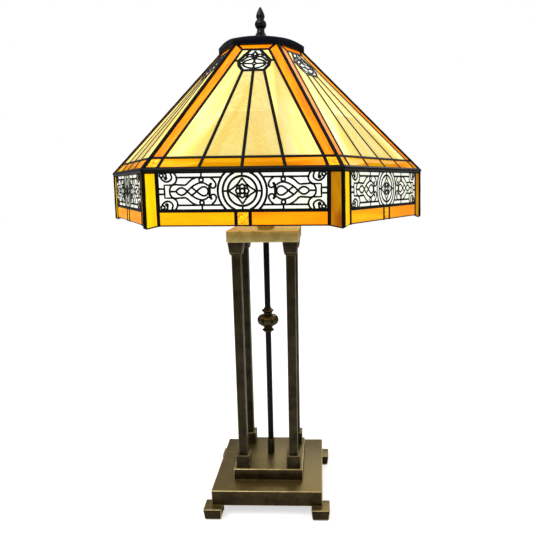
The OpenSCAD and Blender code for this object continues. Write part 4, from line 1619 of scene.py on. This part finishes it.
# ---------- the studio ----------
@dataclass
class Studio:
    """The camera, lights, world and floor.

    Attributes:
        eye: The camera's place, in metres.
        yaw: Its turn to the right, in degrees.
        pitch: Its tilt down.
        roll: Its roll.
        lens: Focal length in millimetres on a 36 mm sensor.
        shift: Its horizontal and vertical shift.
    """

    eye: tuple[float, float, float] = (0.07348, -0.71352, 0.441)
    yaw: float = -2.011
    pitch: float = 12.19
    roll: float = 0.617
    lens: float = 35.81
    shift: Point = (-0.0676, 0.0596)

    def camera(self) -> None:
        """Sets up the camera."""
        yaw, pitch, roll = (math.radians(a) for a in (self.yaw, self.pitch, self.roll))
        ahead = Vector((math.sin(yaw) * math.cos(pitch), math.cos(yaw) * math.cos(pitch), -math.sin(pitch)))
        right = Vector((math.cos(yaw), -math.sin(yaw), 0))
        down = ahead.cross(right)
        if down.z > 0:
            down = -down
        across = right * math.cos(roll) + down * math.sin(roll)
        below = down * math.cos(roll) - right * math.sin(roll)
        turn = Matrix((across, -below, -ahead)).transposed().to_4x4()
        data = bpy.data.cameras.new("camera")
        data.lens, data.sensor_width = self.lens, 36
        data.shift_x, data.shift_y = self.shift
        data.clip_start = 0.01
        thing = bpy.data.objects.new("camera", data)
        thing.matrix_world = Matrix.Translation(self.eye) @ turn
        bpy.context.scene.collection.objects.link(thing)
        bpy.context.scene.camera = thing

    def light(self, name: str, place_at: Sequence[float], aim: Sequence[float], size: float, power: float,
              tint: Colour = (1, 1, 1)) -> None:
        """Adds a soft square light.

        Args:
            name: Its name.
            place_at: Where it is.
            aim: What it points at.
            size: Its side.
            power: Its power in watts.
            tint: Its colour.
        """
        data = bpy.data.lights.new(name, "AREA")
        data.size, data.energy, data.color = size, power, tint
        thing = bpy.data.objects.new(name, data)
        thing.location = place_at
        thing.rotation_euler = (Vector(aim) - Vector(place_at)).to_track_quat("-Z", "Y").to_euler()
        bpy.context.scene.collection.objects.link(thing)

    def world(self) -> None:
        """Makes the world: white behind the lamp, and softer grey where it lights and reflects."""
        world = bpy.data.worlds.new("studio")
        world.use_nodes = True
        bpy.context.scene.world = world
        nodes, links = world.node_tree.nodes, world.node_tree.links
        seen, lit = nodes["Background"], nodes.new("ShaderNodeBackground")
        seen.inputs["Color"].default_value = (1, 1, 1, 1)
        heights = nodes.new("ShaderNodeSeparateXYZ")
        links.new(nodes.new("ShaderNodeTexCoord").outputs["Generated"], heights.inputs[0])
        ramp = nodes.new("ShaderNodeValToRGB")
        for stop, (at, grey) in zip(ramp.color_ramp.elements, ((0.0, 0.1), (0.9, 0.6))):
            stop.position, stop.color = at, (grey, grey, grey, 1)
        links.new(heights.outputs[2], ramp.inputs[0])
        links.new(ramp.outputs[0], lit.inputs["Color"])
        path, mix = nodes.new("ShaderNodeLightPath"), nodes.new("ShaderNodeMixShader")
        links.new(path.outputs["Is Camera Ray"], mix.inputs[0])
        links.new(lit.outputs[0], mix.inputs[1])
        links.new(seen.outputs[0], mix.inputs[2])
        links.new(mix.outputs[0], nodes["World Output"].inputs["Surface"])

    def floor(self) -> None:
        """Makes the pale floor."""
        mesh = bmesh.new()
        bmesh.ops.create_grid(mesh, x_segments=1, y_segments=1, size=6)
        data = bpy.data.meshes.new("floor")
        mesh.to_mesh(data)
        mesh.free()
        graph = Graph("pale_floor")
        specks = graph.noise(graph.place((300, 300, 300)), 2)
        colour = graph.ramp(specks, [(0.2, (0.86, 0.86, 0.86)), (0.8, (0.9, 0.9, 0.9))])
        graph.set(Base_Color=colour, Roughness=0.8, Emission_Color=(1, 1, 1))
        seen = graph.add("LightPath").outputs["Is Camera Ray"]
        graph.set(Emission_Strength=graph.maths("MULTIPLY", seen, 0.62))
        data.materials.append(graph.material)
        thing = bpy.data.objects.new("floor", data)
        bpy.context.scene.collection.objects.link(thing)

    def build(self) -> None:
        """Sets up everything round the lamp."""
        self.camera()
        self.world()
        self.floor()
        self.light("key", (-0.7, -0.9, 1.7), (0, 0, 0.35), 1.1, 14)
        self.light("fill", (1.3, -0.8, 1.0), (0, 0, 0.3), 1.0, 3)
        self.light("back", (0.3, 1.4, 1.3), (0, 0, 0.4), 1.2, 6)
        bpy.context.scene.view_settings.view_transform = "Standard"


def main() -> None:
    logging.basicConfig(level=logging.INFO, format="%(name)s: %(message)s")
    form = ShadeForm()
    for part in (Stand(), Stem(), BulbHolder(Side.LEFT), BulbHolder(Side.RIGHT), LeadWork(form), Panes(form),
                 Filigree(form), Top(), Studio()):
        part.build()
        LOG.info("%s built", type(part).__name__)
    dress_carried_nodes(frame["nodes"])
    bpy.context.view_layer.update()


if __name__ == "__main__":
    main()
